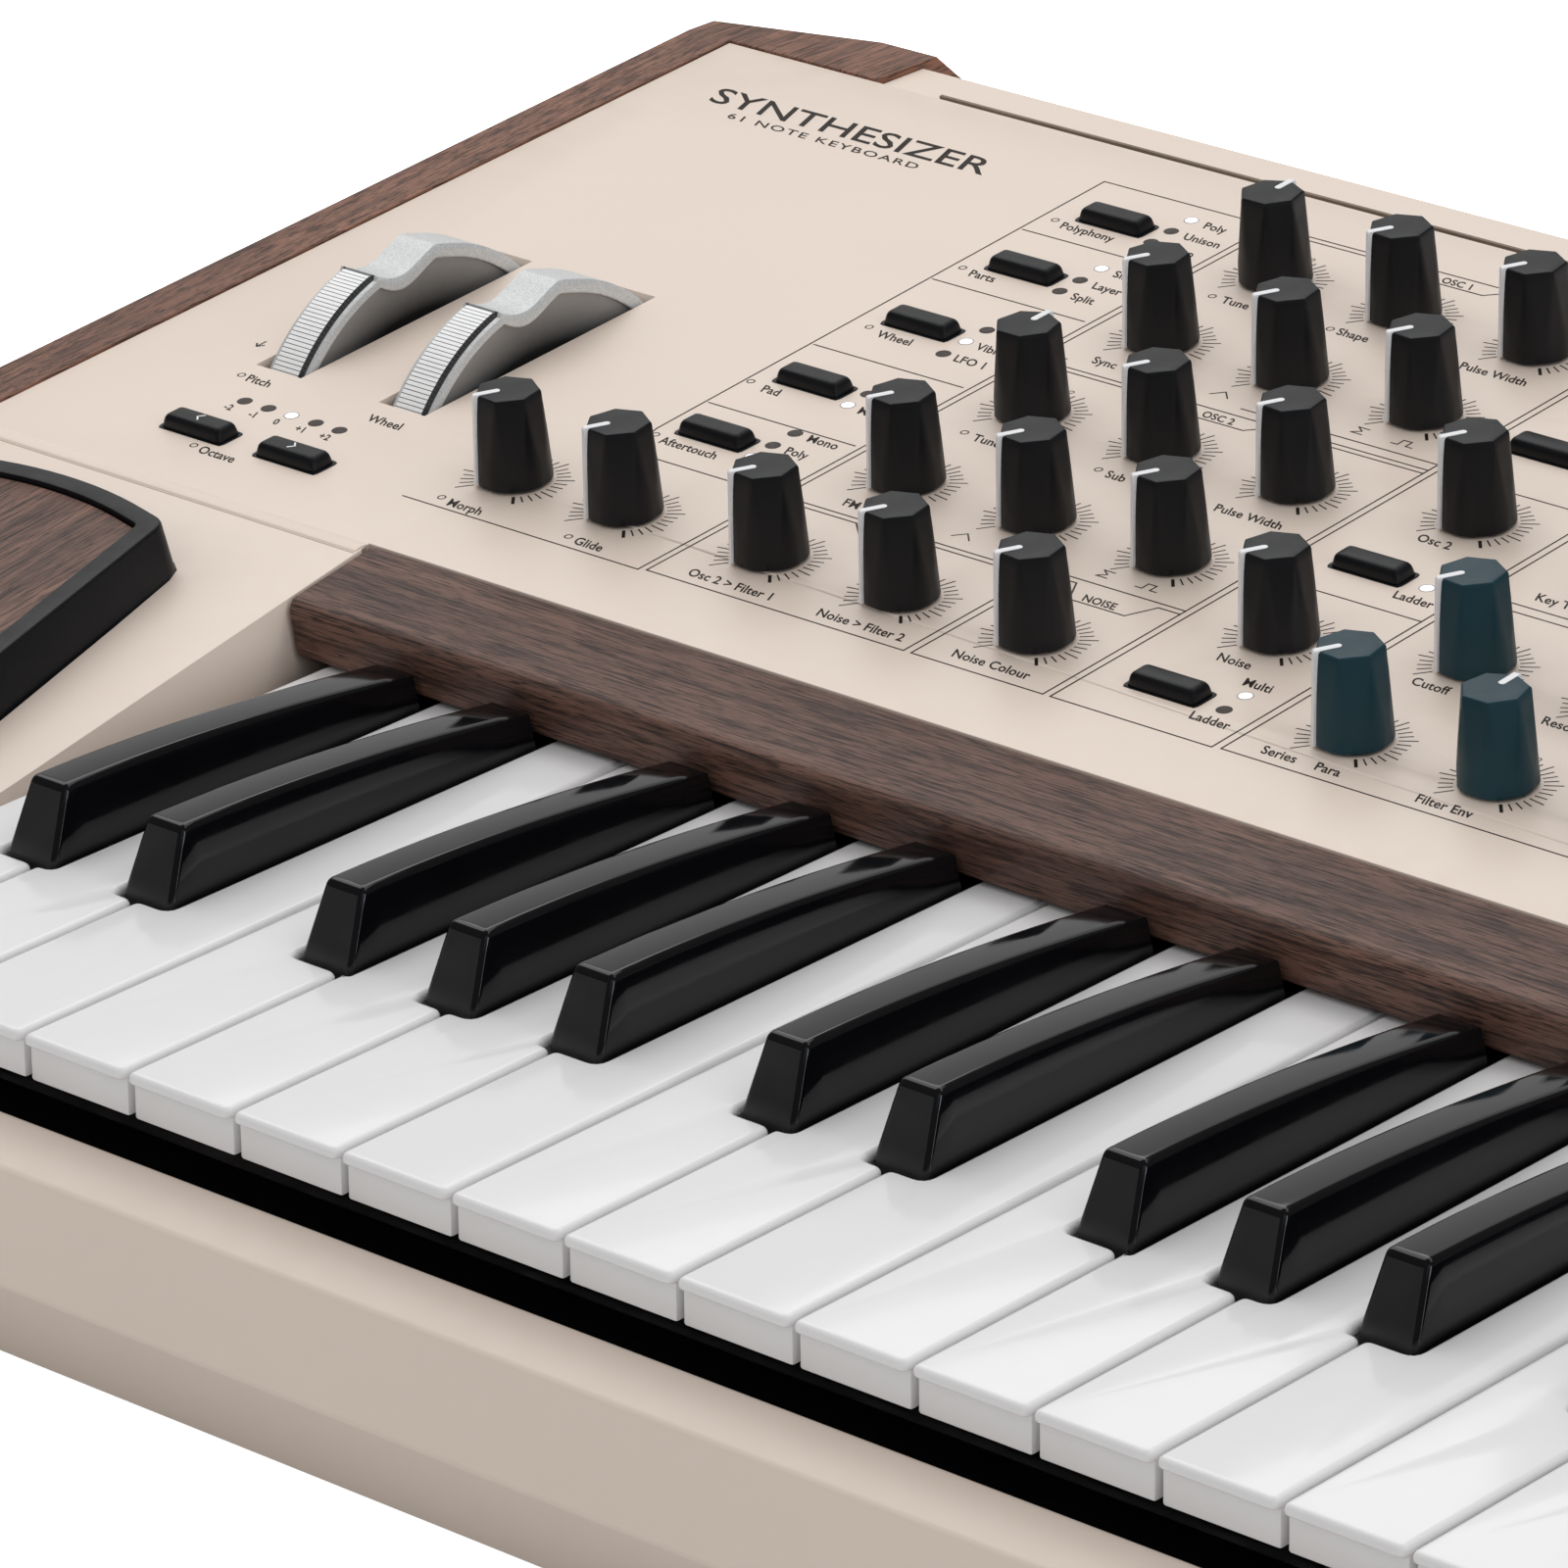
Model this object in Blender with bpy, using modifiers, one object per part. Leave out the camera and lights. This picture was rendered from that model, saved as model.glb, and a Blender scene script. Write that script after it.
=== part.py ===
"""A 61-key analogue synthesizer as separate named pieces.

Lengths are in millimetres and places are in the keyboard's own frame: x runs from the left
side of the lowest key, y from the front lip of the white keys towards the back, and z up
from the white key tops. world() turns them into metres, with the origin under the middle
of the instrument on the surface that it stands on.
"""
import math

import bmesh
import bpy
from mathutils import Matrix, Vector

MM = 0.001
GAP = 0.3

# Overall size
WIDTH = 972.0
DEPTH = 435.0
HEIGHT_UNDER_KEYS = 62.8
BODY_LEFT = -121.0
BODY_RIGHT = BODY_LEFT + WIDTH
BODY_FRONT = -15.0
BODY_REAR = BODY_FRONT + DEPTH
BODY_BOTTOM = -56.5
CHEEK_THICKNESS = 10.8
INSIDE_LEFT = BODY_LEFT + CHEEK_THICKNESS + GAP
INSIDE_RIGHT = BODY_RIGHT - CHEEK_THICKNESS - GAP

# Keyboard: 36 white keys in five octaves and a top C
KEY_PITCH = 23.3
OCTAVE = 7 * KEY_PITCH
OCTAVES = 5
WHITE_KEYS = 36
KEY_GAP = 0.9
WHITE_DEPTH = 8.6
WHITE_LENGTH = 206.0
NOTCH_FRONT = 50.0
NOTCH_HALF = 6.5
BLACK_HALF = 5.6
BLACK_TOP_HALF = 4.2
BLACK_FRONT = 51.6
BLACK_TOP = 12.2
BLACK_END = 140.5
BLACK_BASE = -7.0
BLACK_STEPS = (1, 3, 6, 8, 10)
BLACK_NAMES = ("cs", "ds", "fs", "gs", "as")
WHITE_NAMES = ("c", "d", "e", "f", "g", "a", "b")
KEY_PIVOT = (200.0, -5.0)

# Control panel: a plane that rises to the back from a crease behind the wooden rail
PANEL_ANGLE = math.radians(4.63)
CREASE_Y = 164.1
CREASE_Z = 13.1
PANEL_REAR = 376.5
PANEL_FRONT = 166.6
SHEET = 2.0
THIN_SHEET = 1.5
TRAY_BOTTOM = BODY_BOTTOM + SHEET + GAP
INNER_FLOOR = TRAY_BOTTOM + THIN_SHEET + GAP

# Pad deck: falls to the front from the same crease, left of the keys
DECK_ANGLE = math.atan(0.1256)
DECK_FRONT = 2.0
DECK_SKIRT_Z = -13.6
WALL_X = -0.6
WALL_Z = -0.5
WALL_LEAN = 0.22
WALL_TURN = 0.055

# Wooden rail behind the keys
RAIL_FRONT = 142.2
RAIL_BOTTOM = 0.8
RAIL_TOP = 10.9

# Knobs and buttons
KNOB_RADIUS = 7.0
KNOB_TOP_RADIUS = 6.05
KNOB_HEIGHT = 17.8
KNOB_LIFT = 0.5
ENCODER_RADIUS = 8.5
ENCODER_HEIGHT = 15.0
SHAFT_RADIUS = 3.0
SHAFT_HOLE = 3.6
BOARD_DEPTH = 11.6
BUTTON_LENGTH = 14.6
BUTTON_WIDTH = 5.6
BUTTON_HEIGHT = 2.7
KNOB_ROWS = (201.0, 237.9, 272.6, 309.4, 342.7)
KNOB_COLUMNS = (54.0, 83.9, 114.2)

# Wheels
WHEEL_RADIUS = 40.0
WHEEL_DEPTH = 27.5
WHEEL_WIDTH = 9.8
WHEEL_Y = 243.6
WHEEL_X = (-75.8, -44.8)
WHEEL_BORE = 3.4
SLOT_LENGTH = 63.0
SLOT_WIDTH = 11.4

# Plan of the touch pad on its deck, measured from the crease: narrow at the back
PAD_OUTLINE = [(-90.0, -28.0), (-79.0, -20.8), (-62.0, -19.4), (-44.0, -21.2), (-35.4, -23.8),
               (-32.8, -29.5), (-16.2, -112.0), (-20.0, -118.0), (-60.0, -121.0),
               (-96.0, -118.0), (-101.0, -112.0), (-92.5, -33.0)]
PAD_HEIGHT = 9.8
PAD_DRAFT = 1.7
PAD_RIM = 4.2
PAD_FLANGE = 4.5
PAD_FLOOR = 4.0
PAD_TRAVEL_GAP = 1.4

# Controls: names and places on the panel
MOVING_KNOBS = (("morph_knob", -6.2, 200.6, "black_satin"),
                ("glide_knob", 20.0, 200.8, "black_satin"),
                ("noise_colour_knob", KNOB_COLUMNS[2], KNOB_ROWS[0], "black_satin"),
                ("filter_link_knob", 183.5, 200.3, "teal_satin"),
                ("cutoff_knob", 183.5, 233.7, "teal_satin"),
                ("filter_envelope_knob", 213.6, 200.3, "teal_satin"))

BUTTONS = (("octave_down_button", -69.5, 185.2),
           ("octave_up_button", -46.2, 185.4),
           ("voices_button", 12.4, 347.4),
           ("layers_button", 12.4, 320.8),
           ("wheel_mode_button", 12.4, 291.2),
           ("pad_mode_button", 12.4, 260.9),
           ("pressure_mode_button", 12.4, 234.1),
           ("filter_1_button", 145.9, 253.9),
           ("filter_2_button", 145.9, 198.2),
           ("filter_3_button", 142.7, 308.3))

ENCODER = (715.0, 343.0)
FADERS = 13
FADER_X = 345.0
FADER_PITCH = 13.0
FADER_Y = 222.0
MATRIX = (565.0, 775.0, 192.0, 312.0)
MATRIX_COLUMNS = 12
MATRIX_ROWS = 8
DISPLAY = (585.0, 675.0, 326.0, 360.0)

# Rear connectors
REAR_WALL = 419.5
LEDGE_Z = 29.4
LEDGE_REAR = 390.3
CHAMFER_BOTTOM = 8.0
CORNER_LENGTH = 49.0
JACKS = 8
JACK_PITCH = 22.0
JACK_X = 90.0
JACK_Z = -16.0
DIN_X = (300.0, 326.0, 352.0)
USB_X = 384.0
JACK_BORE = 3.6
DIN_BORE = 6.6
USB_HALF = 4.6
POWER_Z = -20.0
INLET_X = -50.0
INLET_HALF = (14.0, 10.0)
SWITCH_X = -6.0
SWITCH_Y = 412.0
SWITCH_HALF = (8.5, 9.8)
SWITCH_REST = math.radians(-6.0)

FINISHES = {
    "cream_paint": ((0.76, 0.65, 0.56), 0.42, 0.15),
    "walnut": ((0.16, 0.075, 0.05), 0.48, 0.0),
    "white_gloss": ((0.86, 0.86, 0.87), 0.12, 0.0),
    "black_gloss": ((0.010, 0.010, 0.011), 0.10, 0.0),
    "black_satin": ((0.018, 0.018, 0.020), 0.42, 0.0),
    "teal_satin": ((0.010, 0.075, 0.095), 0.42, 0.0),
    "felt": ((0.008, 0.008, 0.008), 0.95, 0.0),
    "silver": ((0.75, 0.75, 0.75), 0.30, 0.8),
    "rubber": ((0.02, 0.02, 0.02), 0.75, 0.0),
    "silicone": ((0.55, 0.56, 0.58), 0.55, 0.0),
    "glass": ((0.01, 0.01, 0.012), 0.05, 0.0),
    "steel": ((0.45, 0.45, 0.46), 0.40, 0.9),
    "circuit_board": ((0.02, 0.12, 0.06), 0.45, 0.0),
    "black_plastic": ((0.02, 0.02, 0.02), 0.5, 0.0),
}


def clear_scene():
    for item in list(bpy.data.objects):
        bpy.data.objects.remove(item, do_unlink=True)


def new_collection(name):
    collection = bpy.data.collections.new(name)
    bpy.context.scene.collection.children.link(collection)
    return collection


def world(x, y, z):
    """A point of the keyboard's frame, in metres."""
    centre_x = (BODY_LEFT + BODY_RIGHT) / 2
    centre_y = (BODY_FRONT + BODY_REAR) / 2
    return Vector((x - centre_x, y - centre_y, z + HEIGHT_UNDER_KEYS)) * MM


def panel_z(y):
    return CREASE_Z + (y - CREASE_Y) * math.tan(PANEL_ANGLE)


def deck_z(y):
    return CREASE_Z - (CREASE_Y - y) * math.tan(DECK_ANGLE)


def level_y():
    """Where the pad deck is as high as the foot of its side wall."""
    return CREASE_Y - (CREASE_Z - WALL_Z) / math.tan(DECK_ANGLE)


def wall_x(y, z):
    """The side wall beside the keys turns away from them to the back, and leans a little."""
    return WALL_X - WALL_TURN * max(0.0, y - level_y()) - WALL_LEAN * max(0.0, z - WALL_Z)


def on_panel(x, y):
    """Place on the control panel with its own z square to the surface."""
    return Matrix.Translation(world(x, y, panel_z(y))) @ Matrix.Rotation(PANEL_ANGLE, 4, 'X')


def on_deck(x, y):
    return Matrix.Translation(world(x, y, deck_z(y))) @ Matrix.Rotation(DECK_ANGLE, 4, 'X')


def flat():
    """Place whose own lengths are the keyboard's."""
    return Matrix.Translation(world(0, 0, 0))


def finish_material(name, finish):
    colour, roughness, metallic = FINISHES[finish]
    material = bpy.data.materials.new(name + "_" + finish)
    material.use_nodes = True
    shader = material.node_tree.nodes["Principled BSDF"]
    shader.inputs["Base Color"].default_value = (*colour, 1.0)
    shader.inputs["Roughness"].default_value = roughness
    shader.inputs["Metallic"].default_value = metallic
    return material


def piece(name, shape, finish, place):
    """One named object from a shape in millimetres, standing at its place."""
    bmesh.ops.scale(shape, vec=(MM, MM, MM), verts=shape.verts)
    bmesh.ops.recalc_face_normals(shape, faces=shape.faces)
    mesh = bpy.data.meshes.new(name)
    shape.to_mesh(mesh)
    shape.free()
    mesh.materials.append(finish_material(name, finish))
    item = bpy.data.objects.new(name, mesh)
    item.matrix_world = place
    PARTS.objects.link(item)
    return item


def operand(target, shape, place, operation):
    """Adds a shape to a piece, or takes it away."""
    name = target.name + "_" + operation.lower()
    bmesh.ops.scale(shape, vec=(MM, MM, MM), verts=shape.verts)
    bmesh.ops.recalc_face_normals(shape, faces=shape.faces)
    mesh = bpy.data.meshes.new(name)
    shape.to_mesh(mesh)
    shape.free()
    cutter = bpy.data.objects.new(name, mesh)
    cutter.matrix_world = place
    cutter.hide_render = True
    cutter.display_type = 'WIRE'
    CUTTERS.objects.link(cutter)
    modifier = target.modifiers.new(operation.title(), 'BOOLEAN')
    modifier.operation = operation
    modifier.solver = 'EXACT'
    modifier.object = cutter


def cut(target, shape, place):
    operand(target, shape, place, 'DIFFERENCE')


def join(target, shape, place):
    operand(target, shape, place, 'UNION')


def box(shape, low, high):
    size = [high[i] - low[i] for i in range(3)]
    middle = [(high[i] + low[i]) / 2 for i in range(3)]
    place = Matrix.Translation(middle) @ Matrix.Diagonal((*size, 1.0))
    return bmesh.ops.create_cube(shape, size=1.0, matrix=place)["verts"]


def boxes(*corners):
    shape = bmesh.new()
    for low, high in corners:
        box(shape, low, high)
    return shape


def cylinder(shape, radius, low, high, x=0.0, y=0.0, segments=12, top_radius=None):
    top = radius if top_radius is None else top_radius
    place = Matrix.Translation((x, y, (low + high) / 2))
    bmesh.ops.create_cone(shape, cap_ends=True, segments=segments, radius1=radius,
                          radius2=top, depth=high - low, matrix=place)


def rod(shape, radius, low, high, y, z, segments=12):
    """A cylinder along x."""
    place = Matrix.Translation(((low + high) / 2, y, z)) @ Matrix.Rotation(math.pi / 2, 4, 'Y')
    bmesh.ops.create_cone(shape, cap_ends=True, segments=segments, radius1=radius,
                          radius2=radius, depth=high - low, matrix=place)


def barrel(shape, radius, x, low, high, z, segments=12):
    """A cylinder along y."""
    place = Matrix.Translation((x, (low + high) / 2, z)) @ Matrix.Rotation(math.pi / 2, 4, 'X')
    bmesh.ops.create_cone(shape, cap_ends=True, segments=segments, radius1=radius,
                          radius2=radius, depth=high - low, matrix=place)


def prism(outline, low, high, along='z'):
    """A flat outline with a thickness: (x, y) points along z, or (y, z) points along x."""
    curve = bpy.data.curves.new("outline", 'CURVE')
    curve.dimensions = '2D'
    curve.fill_mode = 'BOTH'
    curve.extrude = (high - low) / 2
    spline = curve.splines.new('POLY')
    spline.points.add(len(outline) - 1)
    for point, (u, v) in zip(spline.points, outline):
        point.co = (u, v, 0.0, 1.0)
    spline.use_cyclic_u = True
    holder = bpy.data.objects.new("outline", curve)
    CUTTERS.objects.link(holder)
    evaluated = holder.evaluated_get(bpy.context.evaluated_depsgraph_get())
    mesh = bpy.data.meshes.new_from_object(evaluated)
    bpy.data.objects.remove(holder)
    shape = bmesh.new()
    shape.from_mesh(mesh)
    bpy.data.meshes.remove(mesh)
    bmesh.ops.remove_doubles(shape, verts=shape.verts, dist=0.001)
    middle = (low + high) / 2
    if along == 'x':
        axes = Matrix(((0, 0, 1, middle), (1, 0, 0, 0), (0, 1, 0, 0), (0, 0, 0, 1)))
        shape.transform(axes)
    else:
        shape.transform(Matrix.Translation((0, 0, middle)))
    return shape


def grown_point(outline, margin, point):
    """Where a point of an outline goes when the outline grows by about the margin."""
    moved = []
    for axis in (0, 1):
        middle = sum(corner[axis] for corner in outline) / len(outline)
        half = max(abs(corner[axis] - middle) for corner in outline)
        moved.append(middle + (point[axis] - middle) * (half + margin) / half)
    return moved


def grown(outline, margin):
    """The same outline, larger all round by about the margin."""
    return [grown_point(outline, margin, point) for point in outline]


def blunted(outline, share):
    """The outline with each corner cut off, by a share of the sides that meet there."""
    points = []
    for index, corner in enumerate(outline):
        for other in (outline[index - 1], outline[(index + 1) % len(outline)]):
            points.append([corner[i] + (other[i] - corner[i]) * share for i in (0, 1)])
    return points


def folded_sheet(name, polygons, thickness, finish, outward):
    """A bent sheet: an open surface of flat faces, thickened away from its outer side.

    outward is the direction that the first polygon faces.
    """
    shape = bmesh.new()
    for polygon in polygons:
        shape.faces.new([shape.verts.new(point) for point in polygon])
    bmesh.ops.remove_doubles(shape, verts=shape.verts, dist=0.01)
    item = piece(name, shape, finish, flat())
    if item.data.polygons[0].normal.dot(Vector(outward)) < 0:
        item.data.flip_normals()
    solidify = item.modifiers.new("Sheet", 'SOLIDIFY')
    solidify.thickness = thickness * MM
    solidify.offset = -1.0
    solidify.use_even_offset = True
    return item


def strip(profile, low_x, high_x):
    """Faces between neighbouring points of a (y, z) profile, drawn along x."""
    faces = []
    for (y0, z0), (y1, z1) in zip(profile, profile[1:]):
        faces.append([(low_x, y0, z0), (high_x, y0, z0), (high_x, y1, z1), (low_x, y1, z1)])
    return faces


# ---------------------------------------------------------------- casing

def cheek_outline():
    """Side view of the instrument, from the front lip round over the top."""
    deck_start = 4.0
    return [(-4.0, BODY_BOTTOM), (BODY_FRONT, -36.5), (BODY_FRONT + 1.5, -17.0), (-8.0, -10.5),
            (deck_start, deck_z(deck_start) + 0.4), (CREASE_Y, CREASE_Z + 0.4),
            (PANEL_REAR + GAP, panel_z(PANEL_REAR) + 0.4), (395.0, 30.6),
            (BODY_REAR, CHAMFER_BOTTOM + 1.0), (BODY_REAR, -50.0), (412.0, BODY_BOTTOM)]


def corner_outline():
    """Side view of the wooden block that turns the corner at the back."""
    top = panel_z(PANEL_REAR) + 0.4
    floor = CHAMFER_BOTTOM + GAP
    return [(PANEL_REAR + GAP, floor), (PANEL_REAR + GAP, top), (395.0, 30.6),
            (BODY_REAR, CHAMFER_BOTTOM + 1.0), (BODY_REAR, floor)]


def slice_corner(shape, side):
    """Clips the rear top corner of a cheek with one slanting cut."""
    edge_x = BODY_LEFT if side < 0 else BODY_RIGHT
    along = Vector((-side * 26.0, 8.0, 0.0))
    down = Vector((0.0, 29.0, -21.6))
    normal = along.cross(down)
    if normal.z < 0:
        normal = -normal
    geometry = shape.verts[:] + shape.edges[:] + shape.faces[:]
    result = bmesh.ops.bisect_plane(shape, geom=geometry, dist=0.0001,
                                    plane_co=(edge_x, 384.0, 30.8), plane_no=normal,
                                    clear_outer=True)
    rim = [edge for edge in result["geom_cut"] if isinstance(edge, bmesh.types.BMEdge)]
    bmesh.ops.holes_fill(shape, edges=rim)


def make_cheek(name, side):
    if side < 0:
        low, high = BODY_LEFT, BODY_LEFT + CHEEK_THICKNESS
        corner = (high - 1.0, BODY_LEFT + CORNER_LENGTH)
    else:
        low, high = BODY_RIGHT - CHEEK_THICKNESS, BODY_RIGHT
        corner = (BODY_RIGHT - CORNER_LENGTH, low + 1.0)
    board = prism(cheek_outline(), low, high, along='x')
    slice_corner(board, side)
    cheek = piece(name, board, "walnut", flat())
    block = prism(corner_outline(), corner[0], corner[1], along='x')
    slice_corner(block, side)
    join(cheek, block, flat())


def make_casing():
    fascia = [(14.0, BODY_BOTTOM), (-4.0, BODY_BOTTOM), (BODY_FRONT, -36.5), (-12.0, -17.4),
              (-1.2, -14.0), (-1.2, -24.0)]
    folded_sheet("front_fascia", strip(fascia, INSIDE_LEFT, INSIDE_RIGHT), SHEET, "cream_paint",
                 (0, 0, -1))

    floor = TRAY_BOTTOM
    tray = [(15.0, floor + 14.0), (15.0, floor), (411.0, floor), (411.0, floor + 14.0)]
    folded_sheet("base_tray", strip(tray, INSIDE_LEFT + 2.0, INSIDE_RIGHT - 2.0), THIN_SHEET,
                 "steel", (0, -1, 0))

    make_cheek("left_cheek", -1)
    make_cheek("right_cheek", 1)

    rail = prism([(RAIL_FRONT, RAIL_BOTTOM), (PANEL_FRONT - GAP, RAIL_BOTTOM),
                  (PANEL_FRONT - GAP, panel_z(PANEL_FRONT)), (RAIL_FRONT + 1.6, RAIL_TOP),
                  (RAIL_FRONT, RAIL_TOP - 1.6)], -30.0, INSIDE_RIGHT, along='x')
    end = Vector((wall_x(CREASE_Y, WALL_Z) + GAP + 0.2, CREASE_Y, WALL_Z))
    geometry = rail.verts[:] + rail.edges[:] + rail.faces[:]
    result = bmesh.ops.bisect_plane(rail, geom=geometry, dist=0.0001, plane_co=end,
                                    plane_no=(-1.0, -WALL_TURN, -WALL_LEAN), clear_outer=True)
    rim = [edge for edge in result["geom_cut"] if isinstance(edge, bmesh.types.BMEdge)]
    bmesh.ops.holes_fill(rail, edges=rim)
    piece("ribbon_rail", rail, "walnut", flat())

    make_rear_panel()
    make_feet()


def make_rear_panel():
    left = BODY_LEFT + CORNER_LENGTH + GAP
    right = BODY_RIGHT - CORNER_LENGTH - GAP
    ledge_front = PANEL_REAR + 1.8
    ledge = [(left, ledge_front, LEDGE_Z), (right, ledge_front, LEDGE_Z),
             (right, LEDGE_REAR, LEDGE_Z), (left, LEDGE_REAR, LEDGE_Z)]
    chamfer = [(left, LEDGE_REAR, LEDGE_Z), (right, LEDGE_REAR, LEDGE_Z),
               (right, REAR_WALL, CHAMFER_BOTTOM), (left, REAR_WALL, CHAMFER_BOTTOM)]
    wall = [(left, REAR_WALL, CHAMFER_BOTTOM), (right, REAR_WALL, CHAMFER_BOTTOM),
            (INSIDE_RIGHT, REAR_WALL, CHAMFER_BOTTOM), (INSIDE_RIGHT, REAR_WALL, -55.5),
            (INSIDE_LEFT, REAR_WALL, -55.5), (INSIDE_LEFT, REAR_WALL, CHAMFER_BOTTOM)]
    rear = folded_sheet("rear_panel", [ledge, chamfer, wall], THIN_SHEET, "cream_paint", (0, 0, 1))
    holes = bmesh.new()
    for x in jack_places():
        barrel(holes, 6.4, x, REAR_WALL - 5, REAR_WALL + 5, JACK_Z, 8)
    for x in DIN_X:
        barrel(holes, 8.4, x, REAR_WALL - 5, REAR_WALL + 5, JACK_Z, 12)
    box(holes, (USB_X - 6.5, REAR_WALL - 5, JACK_Z - 6.5), (USB_X + 6.5, REAR_WALL + 5, JACK_Z + 6.5))
    for x, (half_x, half_z), margin in ((INLET_X, INLET_HALF, GAP), (SWITCH_X, SWITCH_HALF, 1.5)):
        box(holes, (x - half_x - margin, REAR_WALL - 5, POWER_Z - half_z - margin),
            (x + half_x + margin, REAR_WALL + 5, POWER_Z + half_z + margin))
    cut(rear, holes, flat())


def make_feet():
    for row, y in (("front", 45.0), ("rear", 375.0)):
        for side, x in (("left", BODY_LEFT + 45.0), ("right", BODY_RIGHT - 45.0)):
            shape = bmesh.new()
            top = BODY_BOTTOM + SHEET
            cylinder(shape, 9.5, -HEIGHT_UNDER_KEYS, top, x, y, 16, top_radius=12.0)
            piece("foot_" + row + "_" + side, shape, "rubber", flat())


def make_control_panel():
    crease_wall = wall_x(CREASE_Y, CREASE_Z)
    foot_wall = wall_x(CREASE_Y, WALL_Z)
    turn_y = level_y()
    front_z = deck_z(DECK_FRONT)
    rear_z = panel_z(PANEL_REAR)
    step_z = panel_z(PANEL_FRONT)
    step_x = crease_wall + (CREASE_Y - PANEL_FRONT) * 0.2
    main = [(INSIDE_LEFT, CREASE_Y, CREASE_Z), (crease_wall, CREASE_Y, CREASE_Z),
            (step_x, PANEL_FRONT, step_z), (INSIDE_RIGHT, PANEL_FRONT, step_z),
            (INSIDE_RIGHT, PANEL_REAR, rear_z), (INSIDE_LEFT, PANEL_REAR, rear_z)]
    deck = [(INSIDE_LEFT, DECK_FRONT, front_z), (WALL_X, DECK_FRONT, front_z),
            (WALL_X, turn_y, WALL_Z), (crease_wall, CREASE_Y, CREASE_Z),
            (INSIDE_LEFT, CREASE_Y, CREASE_Z)]
    leaning_wall = [(WALL_X, turn_y, WALL_Z), (foot_wall, CREASE_Y, WALL_Z),
                    (crease_wall, CREASE_Y, CREASE_Z)]
    front_wall = [(WALL_X, DECK_FRONT, front_z), (WALL_X, DECK_FRONT, DECK_SKIRT_Z),
                  (WALL_X, turn_y, DECK_SKIRT_Z), (WALL_X, turn_y, WALL_Z)]
    rear_wall = [(WALL_X, turn_y, WALL_Z), (WALL_X, turn_y, DECK_SKIRT_Z),
                 (foot_wall, CREASE_Y, DECK_SKIRT_Z), (foot_wall, CREASE_Y, WALL_Z)]
    skirt = [(INSIDE_LEFT, DECK_FRONT, front_z), (INSIDE_LEFT, DECK_FRONT, DECK_SKIRT_Z),
             (WALL_X, DECK_FRONT, DECK_SKIRT_Z), (WALL_X, DECK_FRONT, front_z)]
    faces = [main, deck, leaning_wall, front_wall, rear_wall, skirt]
    panel = folded_sheet("control_panel", faces, SHEET, "cream_paint", (0, 0, 1))
    cut(panel, panel_holes(), flat())
    opening = prism(blunted(grown(PAD_OUTLINE, PAD_DRAFT + 1.5), 0.2), -12.0, 12.0)
    cut(panel, opening, on_deck(0.0, CREASE_Y))


def upright_hole(holes, x, y, segments=8):
    """A round hole square to the panel."""
    before = set(holes.verts)
    cylinder(holes, SHAFT_HOLE, -8.0, 8.0, 0.0, 0.0, segments)
    lean = Matrix.Translation((x, y, panel_z(y))) @ Matrix.Rotation(PANEL_ANGLE, 4, 'X')
    bmesh.ops.transform(holes, matrix=lean, verts=list(set(holes.verts) - before))


def panel_holes():
    holes = bmesh.new()
    for x, y in fixed_knobs() + [(x, y) for _, x, y, _ in MOVING_KNOBS]:
        upright_hole(holes, x, y)
    upright_hole(holes, *ENCODER)
    half_x = BUTTON_LENGTH / 2 + 0.4
    half_y = BUTTON_WIDTH / 2 + 0.4
    for _, x, y in BUTTONS:
        z = panel_z(y)
        box(holes, (x - half_x, y - half_y, z - 9), (x + half_x, y + half_y, z + 9))
    for x in WHEEL_X:
        z = panel_z(WHEEL_Y)
        box(holes, (x - SLOT_WIDTH / 2, WHEEL_Y - SLOT_LENGTH / 2, z - 12),
            (x + SLOT_WIDTH / 2, WHEEL_Y + SLOT_LENGTH / 2, z + 12))
    for x in fader_places():
        z = panel_z(FADER_Y)
        box(holes, (x - 1.4, FADER_Y - 20.5, z - 9), (x + 1.4, FADER_Y + 20.5, z + 9))
    for low_x, high_x, low_y, high_y in (MATRIX, DISPLAY):
        z = panel_z((low_y + high_y) / 2)
        box(holes, (low_x - GAP, low_y - GAP, z - 14), (high_x + GAP, high_y + GAP, z + 14))
    return holes


# ---------------------------------------------------------------- keys

def white_outline(index):
    """Plan of one white key, with its notches for the black keys beside it."""
    step = index % 7
    octave_x = (index // 7) * OCTAVE
    left = index * KEY_PITCH + KEY_GAP / 2
    right = (index + 1) * KEY_PITCH - KEY_GAP / 2
    last = index == WHITE_KEYS - 1
    rear_left = left
    rear_right = right
    black_centres = [octave_x + OCTAVE * (position + 0.5) / 12 for position in BLACK_STEPS]
    if step in (1, 2, 4, 5, 6):
        rear_left = black_centres[{1: 0, 2: 1, 4: 2, 5: 3, 6: 4}[step]] + NOTCH_HALF
    if step in (0, 1, 3, 4, 5) and not last:
        rear_right = black_centres[{0: 0, 1: 1, 3: 2, 4: 3, 5: 4}[step]] - NOTCH_HALF
    outline = [(left, 0.0), (right, 0.0)]
    if rear_right != right:
        outline += [(right, NOTCH_FRONT), (rear_right, NOTCH_FRONT)]
    outline += [(rear_right, WHITE_LENGTH), (rear_left, WHITE_LENGTH)]
    if rear_left != left:
        outline += [(rear_left, NOTCH_FRONT), (left, NOTCH_FRONT)]
    return outline


def white_key(index):
    return prism(white_outline(index), -WHITE_DEPTH, 0.0)


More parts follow.
